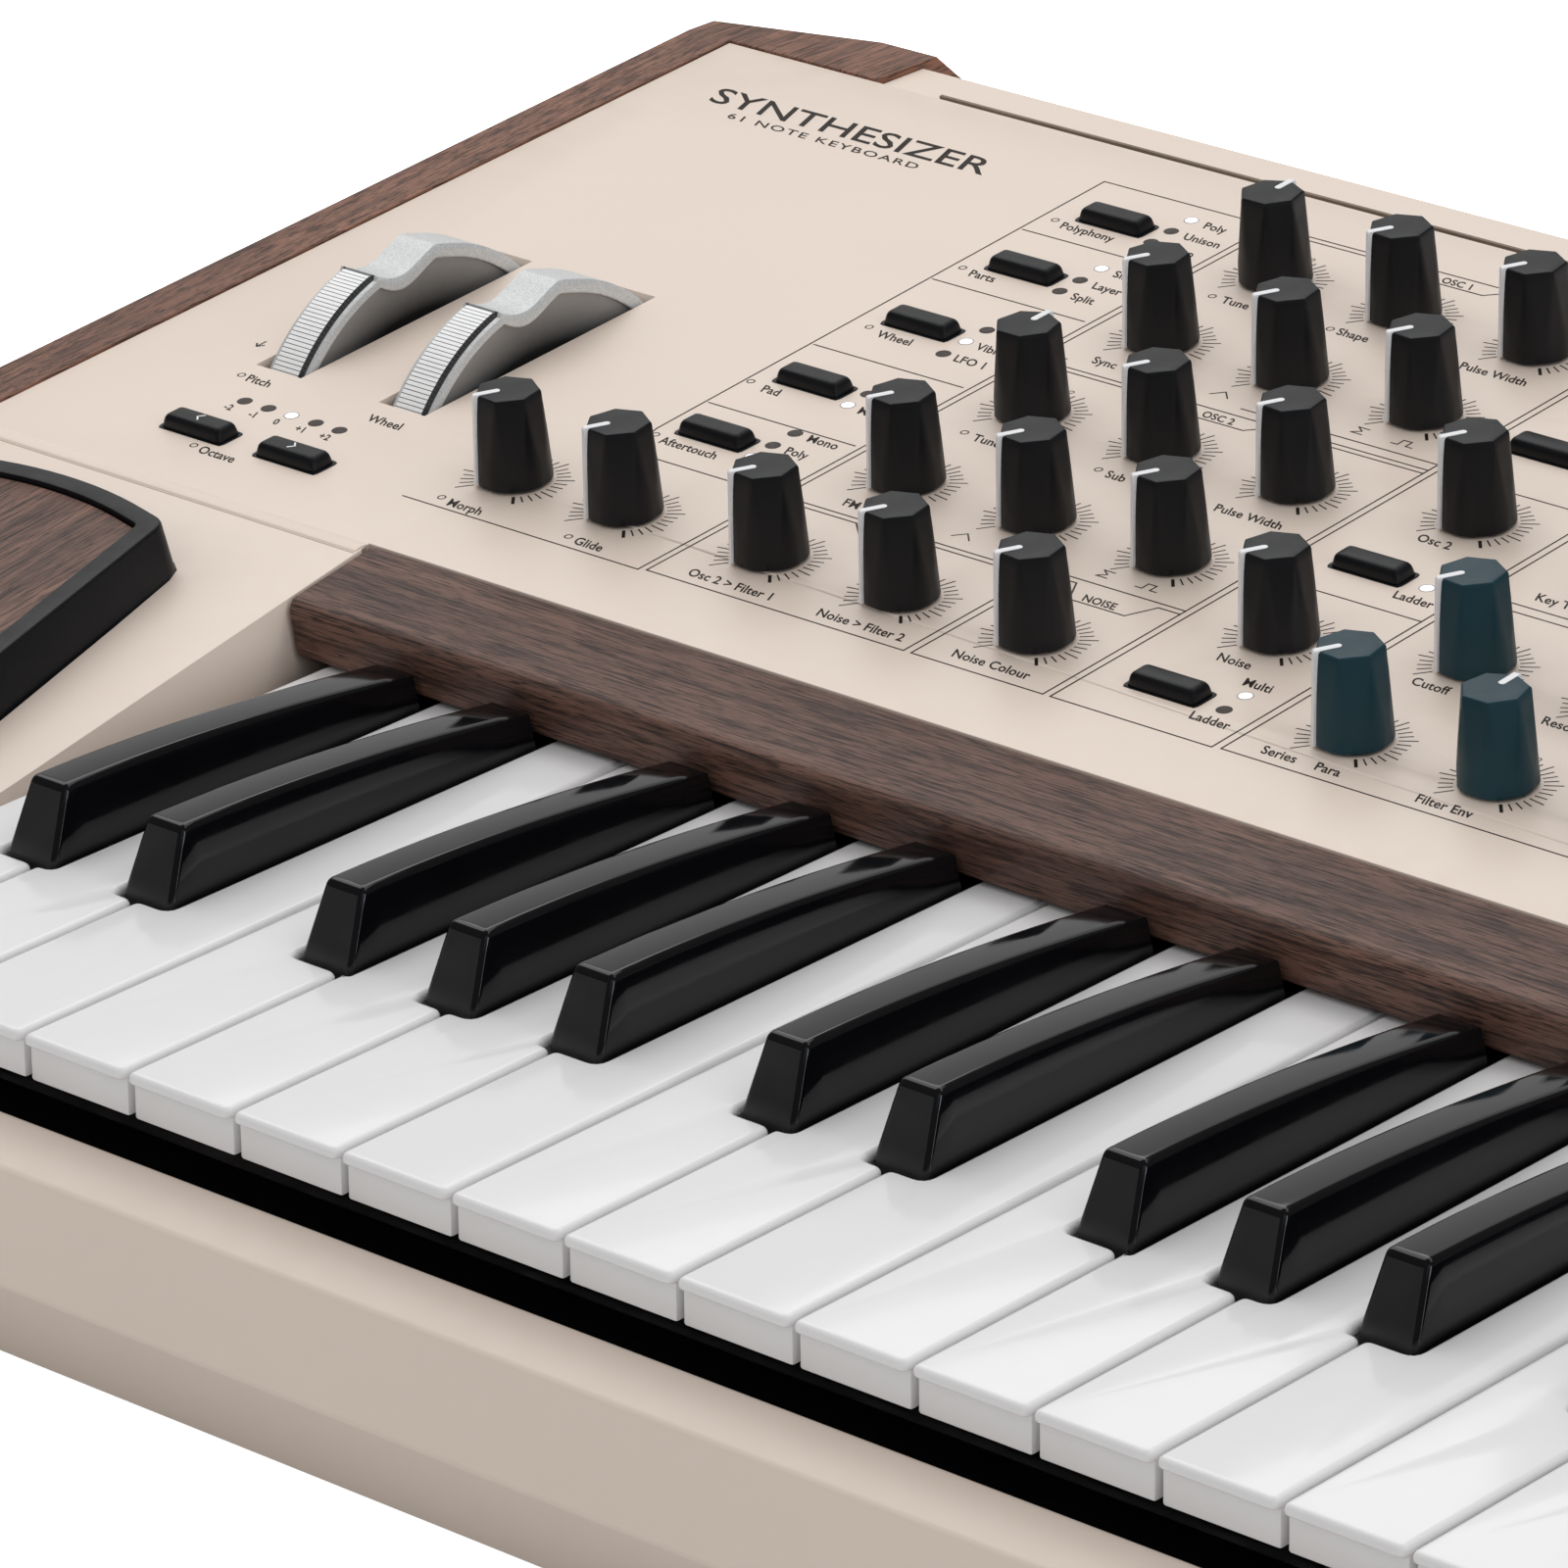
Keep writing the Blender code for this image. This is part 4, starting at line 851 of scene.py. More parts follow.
def make_knobs():
    low = LOW_POINTER
    moving = (("morph_knob", -6.2, 200.6, "black", low), ("glide_knob", 20.0, 200.8, "black", low),
              ("noise_colour_knob", KNOB_COLUMNS[2], KNOB_ROWS[0], "black", low),
              ("filter_link_knob", 183.5, 200.3, "teal", low),
              ("cutoff_knob", 183.5, 233.7, "teal", low),
              ("filter_envelope_knob", 213.6, 200.3, "teal", 0.0))
    for name, x, y, colour, degrees in moving:
        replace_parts(add_knob(name + "_cap", x, y, colour, degrees, name), name)

    left = [(x, y) for y in KNOB_ROWS[1:] for x in KNOB_COLUMNS]
    left += [(x, KNOB_ROWS[0]) for x in KNOB_COLUMNS[:2]]
    left += [(149.3, 223.7), (149.3, 279.0)]
    left += [(x, y) for y in KNOB_ROWS[2:] for x in (190.0, 220.0, 250.0)]
    centred = {(KNOB_COLUMNS[0], KNOB_ROWS[2]), (KNOB_COLUMNS[0], KNOB_ROWS[4])}
    for number, (x, y) in enumerate(left):
        degrees = 0.0 if (x, y) in centred else low
        if x > 180.0 and number % 3 == 1:
            degrees = -40.0
        add_knob("left_knob_" + str(number + 1), x, y, "black", degrees)
    teal = [(213.6, 233.7), (243.7, 200.3), (243.7, 233.7)]
    for number, (x, y) in enumerate(teal):
        add_knob("filter_knob_" + str(number + 1), x, y, "teal", (low, 0.0, 30.0)[number])
    number = 0
    for y in (281.0, 337.0):
        for step in range(8):
            number += 1
            degrees = (low, low, 0.0, -60.0)[(step + int(y)) % 4]
            add_knob("right_knob_" + str(number), 305.0 + 30.0 * step, y, "black", degrees)
    for name, low_x, high_x, low_y, high_y in (("left_board", 30.0, 268.0, 190.0, 358.0),
                                               ("right_board", 290.0, 530.0, 262.0, 356.0)):
        shape = bmesh.new()
        block(shape, (low_x, along_panel(low_y), -11.6), (high_x, along_panel(high_y), -10.0), 0.2)
        board = add_piece(name, shape, PANEL, ["circuit_board"], CASE)
        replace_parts(board, name.replace("_board", "_knob_board"))


def make_encoder():
    """A data wheel with a fluted side and a dished top."""
    shape = bmesh.new()
    flutes = 30
    segments = flutes * 4
    levels = [(0.7, -0.6, 0.0), (1.5, 0.0, 0.0), (2.6, 0.0, 0.25), (12.6, -0.5, 0.25),
              (13.9, -0.6, 0.0), (14.6, -0.9, 0.0), (15.0, -1.6, 0.0), (14.7, -2.6, 0.0),
              (14.3, -5.2, 0.0)]
    rings = []
    for z, grow, depth in levels:
        ring = []
        for step in range(segments):
            angle = math.tau * step / segments
            size = ENCODER_RADIUS + grow - depth * (1.0 if step % 4 in (0, 1) else 0.0)
            ring.append((size * math.cos(angle), size * math.sin(angle), z))
        rings.append(ring)
    loft(shape, rings)
    turned(shape, [(SHAFT_RADIUS, -9.0), (SHAFT_RADIUS, 1.0)], 16)
    cap = add_piece("data_encoder_cap", shape, on_panel(*ENCODER), ["black_satin"],
                    "data_encoder")
    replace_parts(cap, "data_encoder")


# ---------------------------------------------------------------- wheels

def wheel_radius(degrees):
    """Outer radius round the wheel: grip, thumb hollow, crest and smooth back."""
    if RIB_END <= degrees <= HOLLOW_END:
        share = (degrees - RIB_END) / (HOLLOW_END - RIB_END)
        hollow = HOLLOW_DEPTH * math.sin(math.pi * share ** 0.8) ** 1.1
        return WHEEL_RADIUS - hollow + CREST_RISE * share
    if HOLLOW_END < degrees <= CREST_END:
        return WHEEL_RADIUS + CREST_RISE * (CREST_END - degrees) / (CREST_END - HOLLOW_END)
    return WHEEL_RADIUS


def wheel_section(radius, rib):
    """A cut through the wheel's rim as (x, radius, look) points; the look is the next face's."""
    half = WHEEL_WIDTH / 2
    recess = 0.9
    inner = 8.0
    rim = 1.8
    edge = 0.5
    shoulder = radius - SHOULDER_DROP
    # look 2 marks the step up to the ribs, where a painted shadow goes
    left = [(-half + recess, inner, 1), (-half + recess, shoulder - rim, 1),
            (-half + 0.15, shoulder - rim + 0.1, 0), (-half, shoulder - rim + 0.35, 0),
            (-half, shoulder - edge, 0), (-half + edge * 0.3, shoulder - edge * 0.3, 0),
            (-half + edge, shoulder, 0), (-half + 1.0, shoulder + 0.02, 2),
            (-half + 1.65, radius + rib, 0)]
    looks = [look for _, _, look in left]
    mirrored = [(-x, size, 0) for x, size, _ in reversed(left)]
    for index, look in enumerate(reversed(looks[:-1])):
        mirrored[index] = (*mirrored[index][:2], look)
    return left + mirrored


def make_wheel(name, x, body):
    """A wheel with a ribbed grip in front, a thumb hollow on top and a smooth back."""
    shape = bmesh.new()
    stations = []
    degrees = RIB_START
    while degrees < RIB_END - RIB_PITCH:
        stations += [(degrees + step, rib) for step, rib in RIB_STEPS]
        degrees += RIB_PITCH
    stations += [(value, 0.0) for value in
                 [RIB_END + 0.05 + 1.3 * step for step in range(18)] + [10.9, 11.3, 14.0, 17.2]]
    stations += [(20.0 + 4.0 * step, 0.0) for step in range(17)]
    rows = []
    looks = []
    for angle, rib in stations:
        radius = wheel_radius(angle)
        smooth_edge = 0.0 if angle < RIB_END else SMOOTH_RISE
        row = []
        turn = math.radians(angle)
        section = wheel_section(radius, rib)
        for across, size, _ in section:
            if smooth_edge and abs(across) > WHEEL_WIDTH / 2 - 1.05 and size > radius - 1.6:
                inside = abs(across) < WHEEL_WIDTH / 2 - 0.2
                size += smooth_edge * (1.0 if inside else SMOOTH_SIDE_SHARE)
            row.append(shape.verts.new((across, size * math.sin(turn), size * math.cos(turn))))
        rows.append(row)
        looks.append([look for _, _, look in section])
    groove = RIB_DEPTH + 0.01
    for step, (first, second) in enumerate(zip(rows, rows[1:])):
        ribbed = stations[step][0] < RIB_END
        sunk = stations[step][1] < groove or stations[step + 1][1] < groove
        count = len(first)
        for index in range(count - 1):
            face = shape.faces.new((first[index], first[index + 1], second[index + 1],
                                    second[index]))
            look = looks[step][index]
            # rib tops get the painted highlight, groove floors the painted shade
            if index == count // 2 - 1 and ribbed:
                look = 4 if sunk else 3
            # the step up to the ribs keeps its painted shadow only on the ribbed grip
            face.material_index = 0 if look == 2 and not ribbed else look
        shape.faces.new((first[-1], first[0], second[0], second[-1])).material_index = 1
    shape.faces.new(rows[0])
    shape.faces.new(list(reversed(rows[-1])))
    hub = []
    for across in (-WHEEL_WIDTH / 2 + 0.5, WHEEL_WIDTH / 2 - 0.5):
        hub.append([(across, y, x) for x, y, _ in circle(HUB_RADIUS, 0.0, 24)])
    loft(shape, hub, material=1)
    faced_out(shape)
    y = WHEEL_Y + WHEEL_DEPTH * math.sin(PANEL_ANGLE)
    z = panel_z(WHEEL_Y) - WHEEL_DEPTH * math.cos(PANEL_ANGLE)
    place = Matrix.Translation(world(x, y, z)) @ Matrix.Rotation(PANEL_ANGLE, 4, 'X')
    wheel = add_piece(name + "_rim", shape, place, ["silver", "silver_side", "groove",
                      "rib_highlight", "rib_shade"], body, 28.0)
    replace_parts(wheel, body)


# ---------------------------------------------------------------- buttons and lamps

BUTTONS = (("octave_down_button", -69.5, 185.2), ("octave_up_button", -46.2, 185.4),
           ("voices_button", 12.4, 347.4), ("layers_button", 12.4, 320.8),
           ("wheel_mode_button", 12.4, 291.2), ("pad_mode_button", 12.4, 260.9),
           ("pressure_mode_button", 12.4, 234.1), ("filter_1_button", 145.9, 253.9),
           ("filter_2_button", 145.9, 198.2), ("filter_3_button", 142.7, 308.3))


def make_buttons():
    half_x = BUTTON_LENGTH / 2
    half_y = BUTTON_WIDTH / 2
    outline = rounded(rectangle(-half_x, half_x, -half_y, half_y), 1.1)
    collar_outer = rounded(rectangle(-half_x - 0.75, half_x + 0.75, -half_y - 0.5, half_y + 0.5),
                           1.3)
    collar_inner = rounded(rectangle(-half_x - 0.12, half_x + 0.12, -half_y - 0.12, half_y + 0.12),
                           1.1)
    for name, x, y in BUTTONS:
        shape = bmesh.new()
        top = BUTTON_HEIGHT
        layers = [(0.0, -7.0), (0.0, 0.5), (0.2, top - 1.3), (0.36, top - 0.8),
                  (0.65, top - 0.38), (1.05, top - 0.12), (1.6, top)]
        rings = []
        for margin, z in layers:
            share_x = (half_x - margin) / half_x
            share_y = (half_y - margin) / half_y
            rings.append([(px * share_x, py * share_y, z) for px, py in outline])
        loft(shape, rings)
        if name.startswith("octave"):
            side = -1.0 if "down" in name else 1.0
            tip = [(-0.45 * side, 1.0), (0.45 * side, 0.0), (-0.45 * side, -1.0)]
            stroke(shape, tip, 0.34, top - 0.02, top + 0.04, material=1)
        key = add_piece(name + "_cap", shape, on_panel(x, y), ["black_satin", "white_ink"], name,
                        35.0)
        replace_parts(key, name)
        shape = bmesh.new()
        rings = stacked([(collar_inner, -1.5), (collar_outer, -1.5), (collar_outer, 0.08),
                         (inset(collar_outer, 0.1), 0.16), (collar_inner, 0.12)])
        loft(shape, rings, closed=True)
        add_piece(name.replace("_button", "_collar"), shape, on_panel(x, y), ["black_satin"],
                  CASE, 40.0)


LAMPS = ((-71.7, 199.0, 0), (-65.7, 199.0, 0), (-59.9, 199.0, 1), (-53.8, 199.0, 0),
         (-47.9, 199.0, 0),
         (23.3, 356.1, 1), (23.3, 350.1, 0), (23.3, 344.1, 0),
         (23.3, 329.6, 1), (23.3, 323.3, 0), (23.3, 317.4, 0),
         (23.3, 296.5, 0), (23.3, 290.5, 1), (23.3, 284.1, 0),
         (23.3, 263.0, 0), (23.3, 257.4, 1),
         (23.3, 242.9, 0), (23.3, 236.8, 0), (23.3, 231.0, 1),
         (158.0, 253.3, 1), (158.0, 203.4, 1), (158.3, 197.3, 0), (153.0, 308.3, 0),
         (75.3, 345.6, 0))


def make_lamps():
    """Small flat lenses set into the panel. Only a lit one shows the rim of its hole, painted
    lighter grey as lit by its lamp.
    """
    place = PANEL
    for state, look in ((1, "lamp_lit"), (0, "lamp_dark")):
        shape = bmesh.new()
        ring = bmesh.new()
        for x, y, lit in LAMPS:
            if lit != state:
                continue
            v = along_panel(y)
            turned(shape, [(1.25, -0.5), (1.25, 0.04), (1.1, 0.09), (0.5, 0.12)], 24, x, v)
            tube(ring, 1.48, 1.25, -0.4, 0.06, 24, x, v, 0.04)
        kind = "lit" if state else "dark"
        add_piece("lamps_" + kind, shape, place, [look], CASE, smooth=50.0)
        # lit lamps get a rim with painted lamp light, dark ones a rim in their own dark look
        add_piece("lamp_rings_" + kind, ring, place, ["lamp_ring" if state else look], CASE)


# ---------------------------------------------------------------- prints

LINE = 0.32
PRINT_LOW = -0.05
PRINT_HIGH = 0.035


def stroke(shape, points, width=LINE, low=PRINT_LOW, high=PRINT_HIGH, material=0):
    """A printed line: one thin strip for each stretch, with its ends run on to fill corners."""
    for (x0, y0), (x1, y1) in zip(points, points[1:]):
        start = Vector((x0, y0))
        along = Vector((x1, y1)) - start
        length = along.length
        if length < 0.001:
            continue
        along.normalize()
        side = Vector((-along.y, along.x)) * (width / 2)
        first = start - along * (width * 0.4)
        last = start + along * (length + width * 0.4)
        ring = [first - side, last - side, last + side, first + side]
        loft(shape, [[(p.x, p.y, low) for p in ring], [(p.x, p.y, high) for p in ring]],
             material=material)


def ring_mark(shape, x, y, radius, width=0.25):
    tube(shape, radius + width / 2, radius - width / 2, PRINT_LOW, PRINT_HIGH, 20, x, y, 0.005)


def letters(shape, text, x, y, size=3.8, slant=-0.45, stretch=0.78, space=1.02, bold=0.055,
            width=None):
    """Lettering from the built-in font, with its first letter's foot at x, y.

    A width, where it is given, sets the stretch.
    """
    curve = bpy.data.curves.new("letters", 'FONT')
    curve.body = text
    curve.size = size
    curve.shear = slant
    curve.space_character = space
    curve.extrude = (PRINT_HIGH - PRINT_LOW) / 2
    curve.offset = bold
    curve.resolution_u = 3
    curve.fill_mode = 'BOTH'
    holder = bpy.data.objects.new("letters", curve)
    bpy.context.scene.collection.objects.link(holder)
    depsgraph = bpy.context.evaluated_depsgraph_get()
    mesh = bpy.data.meshes.new_from_object(holder.evaluated_get(depsgraph))
    bpy.data.objects.remove(holder)
    middle = (PRINT_HIGH + PRINT_LOW) / 2
    if width:
        reaches = [vert.co.x for vert in mesh.vertices]
        stretch = width / (max(reaches) - min(reaches))
    mesh.transform(Matrix.Translation((x, y, middle)) @ Matrix.Diagonal((stretch, 1, 1, 1)))
    shape.from_mesh(mesh)
    bpy.data.meshes.remove(mesh)


def scale_marks(shape, x, y, centred, radius=7.6):
    """Ticks round a knob: one every ten degrees, longer at every fourth."""
    v = along_panel(y)
    for step in range(-14, 15):
        degrees = step * 10
        angle = math.radians(degrees)
        inner = radius
        outer = radius + (3.2 if (step + 2) % 4 == 0 else 2.3)
        width = 0.27
        if step == 14:
            outer = radius + 2.5
            width = 0.6
        direction = (math.sin(angle), math.cos(angle))
        ends = [(x + size * direction[0], v + size * direction[1]) for size in (inner, outer)]
        stroke(shape, ends, width)
    if centred:
        ring_mark(shape, x, v + radius + 3.4, 0.5, 0.2)


def section_top(shape, low_x, high_x, y, title, title_x, fall=4.4):
    """A section's double top line, which dips under its title like the tab of a folder."""
    width = 1.75 * len(title)
    v = along_panel(y)
    stroke(shape, [(low_x, v), (high_x, v)])
    left = title_x - 2.0
    right = title_x + width + 1.5
    stroke(shape, [(low_x, v - 1.5), (left - 3.0, v - 1.5), (left, v - fall), (right, v - fall),
                   (right + 3.0, v - 1.5), (high_x, v - 1.5)])
    letters(shape, title, title_x, v - fall + 0.75, 3.3)


def edge_line(shape, *points):
    stroke(shape, [(x, along_panel(y)) for x, y in points])


def wave_mark(shape, kind, x, y):
    """Small outline of a wave beside a control."""
    marks = {"triangle": [(-2.0, -0.9), (0.0, 1.2), (2.0, -0.9)],
             "saw": [(1.2, 1.2), (-1.2, 1.2), (0.4, 0.0), (-1.2, -1.2), (1.2, -1.2)],
             "square": [(-2.4, -1.0), (-1.0, -1.0), (-1.0, 1.0), (0.8, 1.0), (0.8, -1.0),
                        (2.2, -1.0)]}
    v = along_panel(y)
    stroke(shape, [(x + px, v + py) for px, py in marks[kind]], 0.28)


LABELS = (("Pitch", -78.3, 205.7), ("Wheel", -46.8, 204.9), ("Octave", -63.6, 178.0),
          ("Morph", -9.6, 185.9), ("Glide", 20.5, 186.3),
          ("Polyphony", 4.2, 340.2), ("Parts", 4.0, 313.8), ("Wheel", 7.6, 283.4),
          ("Pad", 5.6, 253.4), ("Aftertouch", 4.9, 226.5),
          ("Poly", 27.2, 354.4), ("Unison", 27.2, 348.4), ("Mono", 27.2, 342.4),
          ("Single", 27.2, 327.8), ("Layer", 27.2, 321.6), ("Split", 27.0, 315.7),
          ("Bend", 26.8, 295.0), ("Vibrato", 26.8, 288.8), ("LFO 1", 26.6, 282.6),
          ("Morph", 26.8, 261.2), ("Motion", 26.8, 255.6),
          ("Mono", 27.0, 241.4), ("Poly", 27.0, 235.3), ("Full", 27.0, 229.4),
          ("Tune", 51.6, 329.3), ("Shape", 78.4, 329.4), ("Pulse Width", 106.4, 329.4),
          ("Sync", 48.6, 295.6), ("Tune", 52.0, 257.8), ("Sub", 82.0, 258.6),
          ("Pulse Width", 107.0, 258.1), ("FM", 50.2, 224.3),
          ("Osc 2 > Filter 1", 46.2, 187.6), ("Noise > Filter 2", 75.8, 187.6),
          ("Noise Colour", 106.0, 188.0), ("Osc 2", 144.5, 267.6), ("Noise", 144.9, 211.6),
          ("Ladder", 155.0, 247.2), ("Multi", 154.7, 206.4), ("Ladder", 155.0, 191.6),
          ("Series", 173.3, 188.0), ("Para", 184.5, 188.0), ("Filter Env", 205.6, 187.9),
          ("Cutoff", 178.3, 222.2), ("Resonance", 205.6, 222.2), ("Cutoff", 240.0, 188.0),
          ("Level", 240.6, 222.2), ("Key Track", 176.1, 259.6), ("Drive", 214.5, 259.6),
          ("Pan", 246.6, 259.6), ("Attack", 184.0, 296.4), ("Decay", 214.4, 296.4),
          ("Sustain", 243.6, 296.4), ("Rate", 186.2, 329.6), ("Depth", 214.6, 329.6),
          ("Delay", 245.0, 329.6))

CIRCLES = ((1.4, 342.6), (1.0, 316.1), (3.9, 286.0), (1.4, 255.8), (2.2, 228.9), (48.7, 330.7),
           (48.9, 259.7), (79.3, 260.4), (76.2, 330.7), (18.1, 188.0), (-66.0, 179.8),
           (-80.4, 207.2), (-12.3, 187.9))


# Lines round the sections left of the envelope faders, as x and y on the panel
SECTION_LINES = (((36.2, 361.8), (-2.4, 361.8), (0.6, 231.0), (1.6, 226.0), (9.6, 221.0)),
                 ((-18.7, 184.6), (37.5, 184.6), (37.3, 361.8)),
                 ((39.0, 361.8), (39.0, 185.2), (97.9, 185.2), (97.9, 220.4), (99.6, 222.0),
                  (99.6, 185.2), (128.8, 185.2), (128.8, 361.8)),
                 ((130.4, 361.8), (130.4, 185.2), (165.3, 185.2), (165.3, 361.8)),
                 ((39.0, 294.4), (44.0, 294.4)), ((84.4, 294.4), (128.8, 294.4)),
                 ((130.4, 242.3), (165.3, 242.3)), ((130.4, 292.0), (165.3, 292.0)),
                 ((267.0, 254.0), (167.0, 254.0), (167.0, 185.6), (267.0, 185.6),
                  (267.0, 361.8)),
                 ((267.0, 256.6), (167.0, 256.6), (167.0, 361.8)))


def left_prints(shape):
    for text, x, y in LABELS:
        letters(shape, text, x, along_panel(y))
    for x, y in CIRCLES:
        ring_mark(shape, x, along_panel(y), 0.72)
    for text, x in (("-2", -73.0), ("-1", -66.8), ("0", -60.6), ("+1", -55.2), ("+2", -49.2)):
        letters(shape, text, x, along_panel(194.5), 3.0)
    edge_line(shape, (-87.1, 220.6), (-87.1, 218.2))
    edge_line(shape, (-88.0, 219.2), (-87.1, 218.1), (-86.2, 219.2))

    for line in SECTION_LINES:
        edge_line(shape, *line)
    for y, left, right in ((335.9, -1.0, 23.9), (309.1, -0.4, 36.0), (274.5, 0.4, 36.0),
                           (244.6, 1.1, 36.0), (221.0, 9.6, 34.6)):
        edge_line(shape, (left, y), (right, y))

    section_top(shape, 39.0, 128.8, 361.8, "OSC 1", 80.3)
    section_top(shape, 39.0, 128.8, 291.6, "OSC 2", 80.3)
    section_top(shape, 39.0, 97.9, 221.4, "MIXER", 62.5)
    section_top(shape, 99.6, 128.8, 223.6, "NOISE", 110.8, 7.2)
    section_top(shape, 167.0, 267.0, 361.8, "ENVELOPE", 208.0)
    section_top(shape, 130.4, 165.3, 361.8, "ROUTE", 141.0)
    wave_mark(shape, "triangle", 77.6, 297.4)
    wave_mark(shape, "saw", 108.3, 298.4)
    wave_mark(shape, "square", 118.4, 298.4)
    wave_mark(shape, "triangle", 77.0, 226.0)
    wave_mark(shape, "saw", 107.8, 227.6)
    wave_mark(shape, "square", 117.6, 227.6)


def right_prints(shape):
    rows = ((281.0, ("Rate", "Delay", "Shape", "Phase", "Rate", "Delay", "Shape", "Phase")),
            (337.0, ("Time", "Tone", "Mix", "Size", "Time", "Tone", "Mix", "Volume")))
    for y, names in rows:
        for step, name in enumerate(names):
            letters(shape, name, 301.0 + 30.0 * step, along_panel(y - 14.4))
    section_top(shape, 286.0, 408.0, 361.8, "EFFECTS", 340.0)
    section_top(shape, 410.0, 532.0, 361.8, "OUTPUT", 464.0)
    section_top(shape, 286.0, 532.0, 305.0, "MODULATION", 400.0)
    edge_line(shape, (286.0, 361.8), (286.0, 185.2), (532.0, 185.2), (532.0, 361.8))
    edge_line(shape, (408.0, 361.8), (408.0, 308.0), (532.0, 308.0))
    section_top(shape, 286.0, 532.0, 255.0, "ENVELOPES", 392.0)
    for step in range(FADERS):
        x = FADER_X + step * FADER_PITCH
        for tick in range(11):
            v = along_panel(FADER_Y) - 16.0 + 3.2 * tick
            reach = 5.6 if tick % 5 == 0 else 4.9
            for side in (-1, 1):
                stroke(shape, [(x + side * 3.9, v), (x + side * reach, v)], 0.16)
        letters(shape, "ADSRDADSRADSR"[step], x - 0.8, along_panel(189.6))
    low_x, high_x, low_y, high_y = MATRIX
    pitch = (high_x - low_x) / 12
    for column in range(12):
        x = low_x + (column + 0.5) * pitch
        letters(shape, str(column + 1), x - 1.0, along_panel(high_y + 2.2))
    for row in range(8):
        y = high_y - (row + 0.5) * (high_y - low_y) / 8
        letters(shape, "ABCDEFGH"[row], low_x - 5.4, along_panel(y) - 1.0)
    section_top(shape, 552.0, 788.0, 322.4, "MATRIX", 700.0)
    edge_line(shape, (552.0, 322.4), (552.0, 187.0), (788.0, 187.0), (788.0, 322.4))
    letters(shape, "Preset", 711.0, along_panel(328.6))


def make_prints():
    place = PANEL
    shape = bmesh.new()
    for x, y, centred in KNOBS:
        scale_marks(shape, x, y, centred)
    add_piece("knob_scales", shape, place, ["ink"], CASE)
    shape = bmesh.new()
    left_prints(shape)
    add_piece("left_prints", shape, place, ["ink"], CASE)
    shape = bmesh.new()
    right_prints(shape)
    add_piece("right_prints", shape, place, ["ink"], CASE)
    shape = bmesh.new()
    letters(shape, "SYNTHESIZER", -94.2, along_panel(351.8), 9.6, -0.25, 1.0, 1.0, 0.06, 71.0)
    letters(shape, "61 NOTE KEYBOARD", -85.2, along_panel(347.3), 3.3, -0.25, 1.0, 1.2, 0.02, 48.0)
    add_piece("panel_title", shape, place, ["ink"], CASE)


def make_seam():
    """The raised fold where the panel meets the pad deck, with a painted shadow line along its
    foot.
    """
    low = BODY_LEFT + 11.4
    foot = WALL_X - WALL_TURN * (CREASE_Z - WALL_Z) / math.tan(DECK_ANGLE)
    high = foot - WALL_LEAN * (CREASE_Z - WALL_Z) - 0.3
    fold = [(-1.6, -0.25), (-1.5, -0.02), (-1.1, 0.16), (-0.5, 0.26), (0.2, 0.30), (1.0, 0.24),
            (1.8, 0.12), (2.4, -0.06), (0.0, -0.5)]
    shape = bmesh.new()
    loft(shape, [[(x, y, z) for y, z in fold] for x in (low, high)])
    faced_out(shape)
    add_piece("deck_seam", shape, PANEL, ["cream_paint"], CASE,
              60.0)
    # painted shadow: a dark strip along the front foot of the fold
    shape = bmesh.new()
    stroke(shape, [(low, -1.85), (high, -1.85)], 0.28, -0.4, 0.03)
    add_piece("seam_foot_shadow", shape, on_deck(), ["seam_shadow"], CASE)
    # painted shadow: a dark strip filling the gap behind the panel's rear edge
    shape = bmesh.new()
    v = along_panel(SHADOW_GAP_Y)
    stroke(shape, [(SHADOW_GAP_START, v), (BODY_RIGHT + BODY_LEFT - SHADOW_GAP_START, v)], 0.75, -0.6, 0.05)
    add_piece("rear_gap_shadow", shape, PANEL, ["gap_shadow"], CASE)


# ---------------------------------------------------------------- touch pad

def arc_through(start, middle, end, steps):
    """Points on the circle through three points, from the first to the last."""
    first = Vector(start)
    second = Vector(middle) - first
    third = Vector(end) - first
    twice = 2 * (second.x * third.y - second.y * third.x)
    near = second.length_squared
    far = third.length_squared
    centre = first + Vector((third.y * near - second.y * far,
                             second.x * far - third.x * near)) / twice
    radius = (first - centre).length
    low = math.atan2(start[1] - centre.y, start[0] - centre.x)
    high = math.atan2(end[1] - centre.y, end[0] - centre.x)
    angles = [low + (high - low) * step / steps for step in range(steps + 1)]
    return [(centre.x + radius * math.cos(angle), centre.y + radius * math.sin(angle))
            for angle in angles]


def pad_plan(corner, margin=0.0):
    """Plan of the pad, set in by a margin; its rear corner has its own radius."""
    rear = arc_through((-84.0, -22.6), (-60.0, -19.2), (-40.0, -21.8), 12)
    points = [(-90.5, -28.5)] + rear + [(-33.6, -23.3)] + PAD_FRONT
    if margin:
        points = inset(points, margin)
    sizes = [6.0] + [0.0] * len(rear) + [corner] + [4.5, 6.0, 40.0, 6.0, 6.0]
    return rounded(points, sizes, 6)


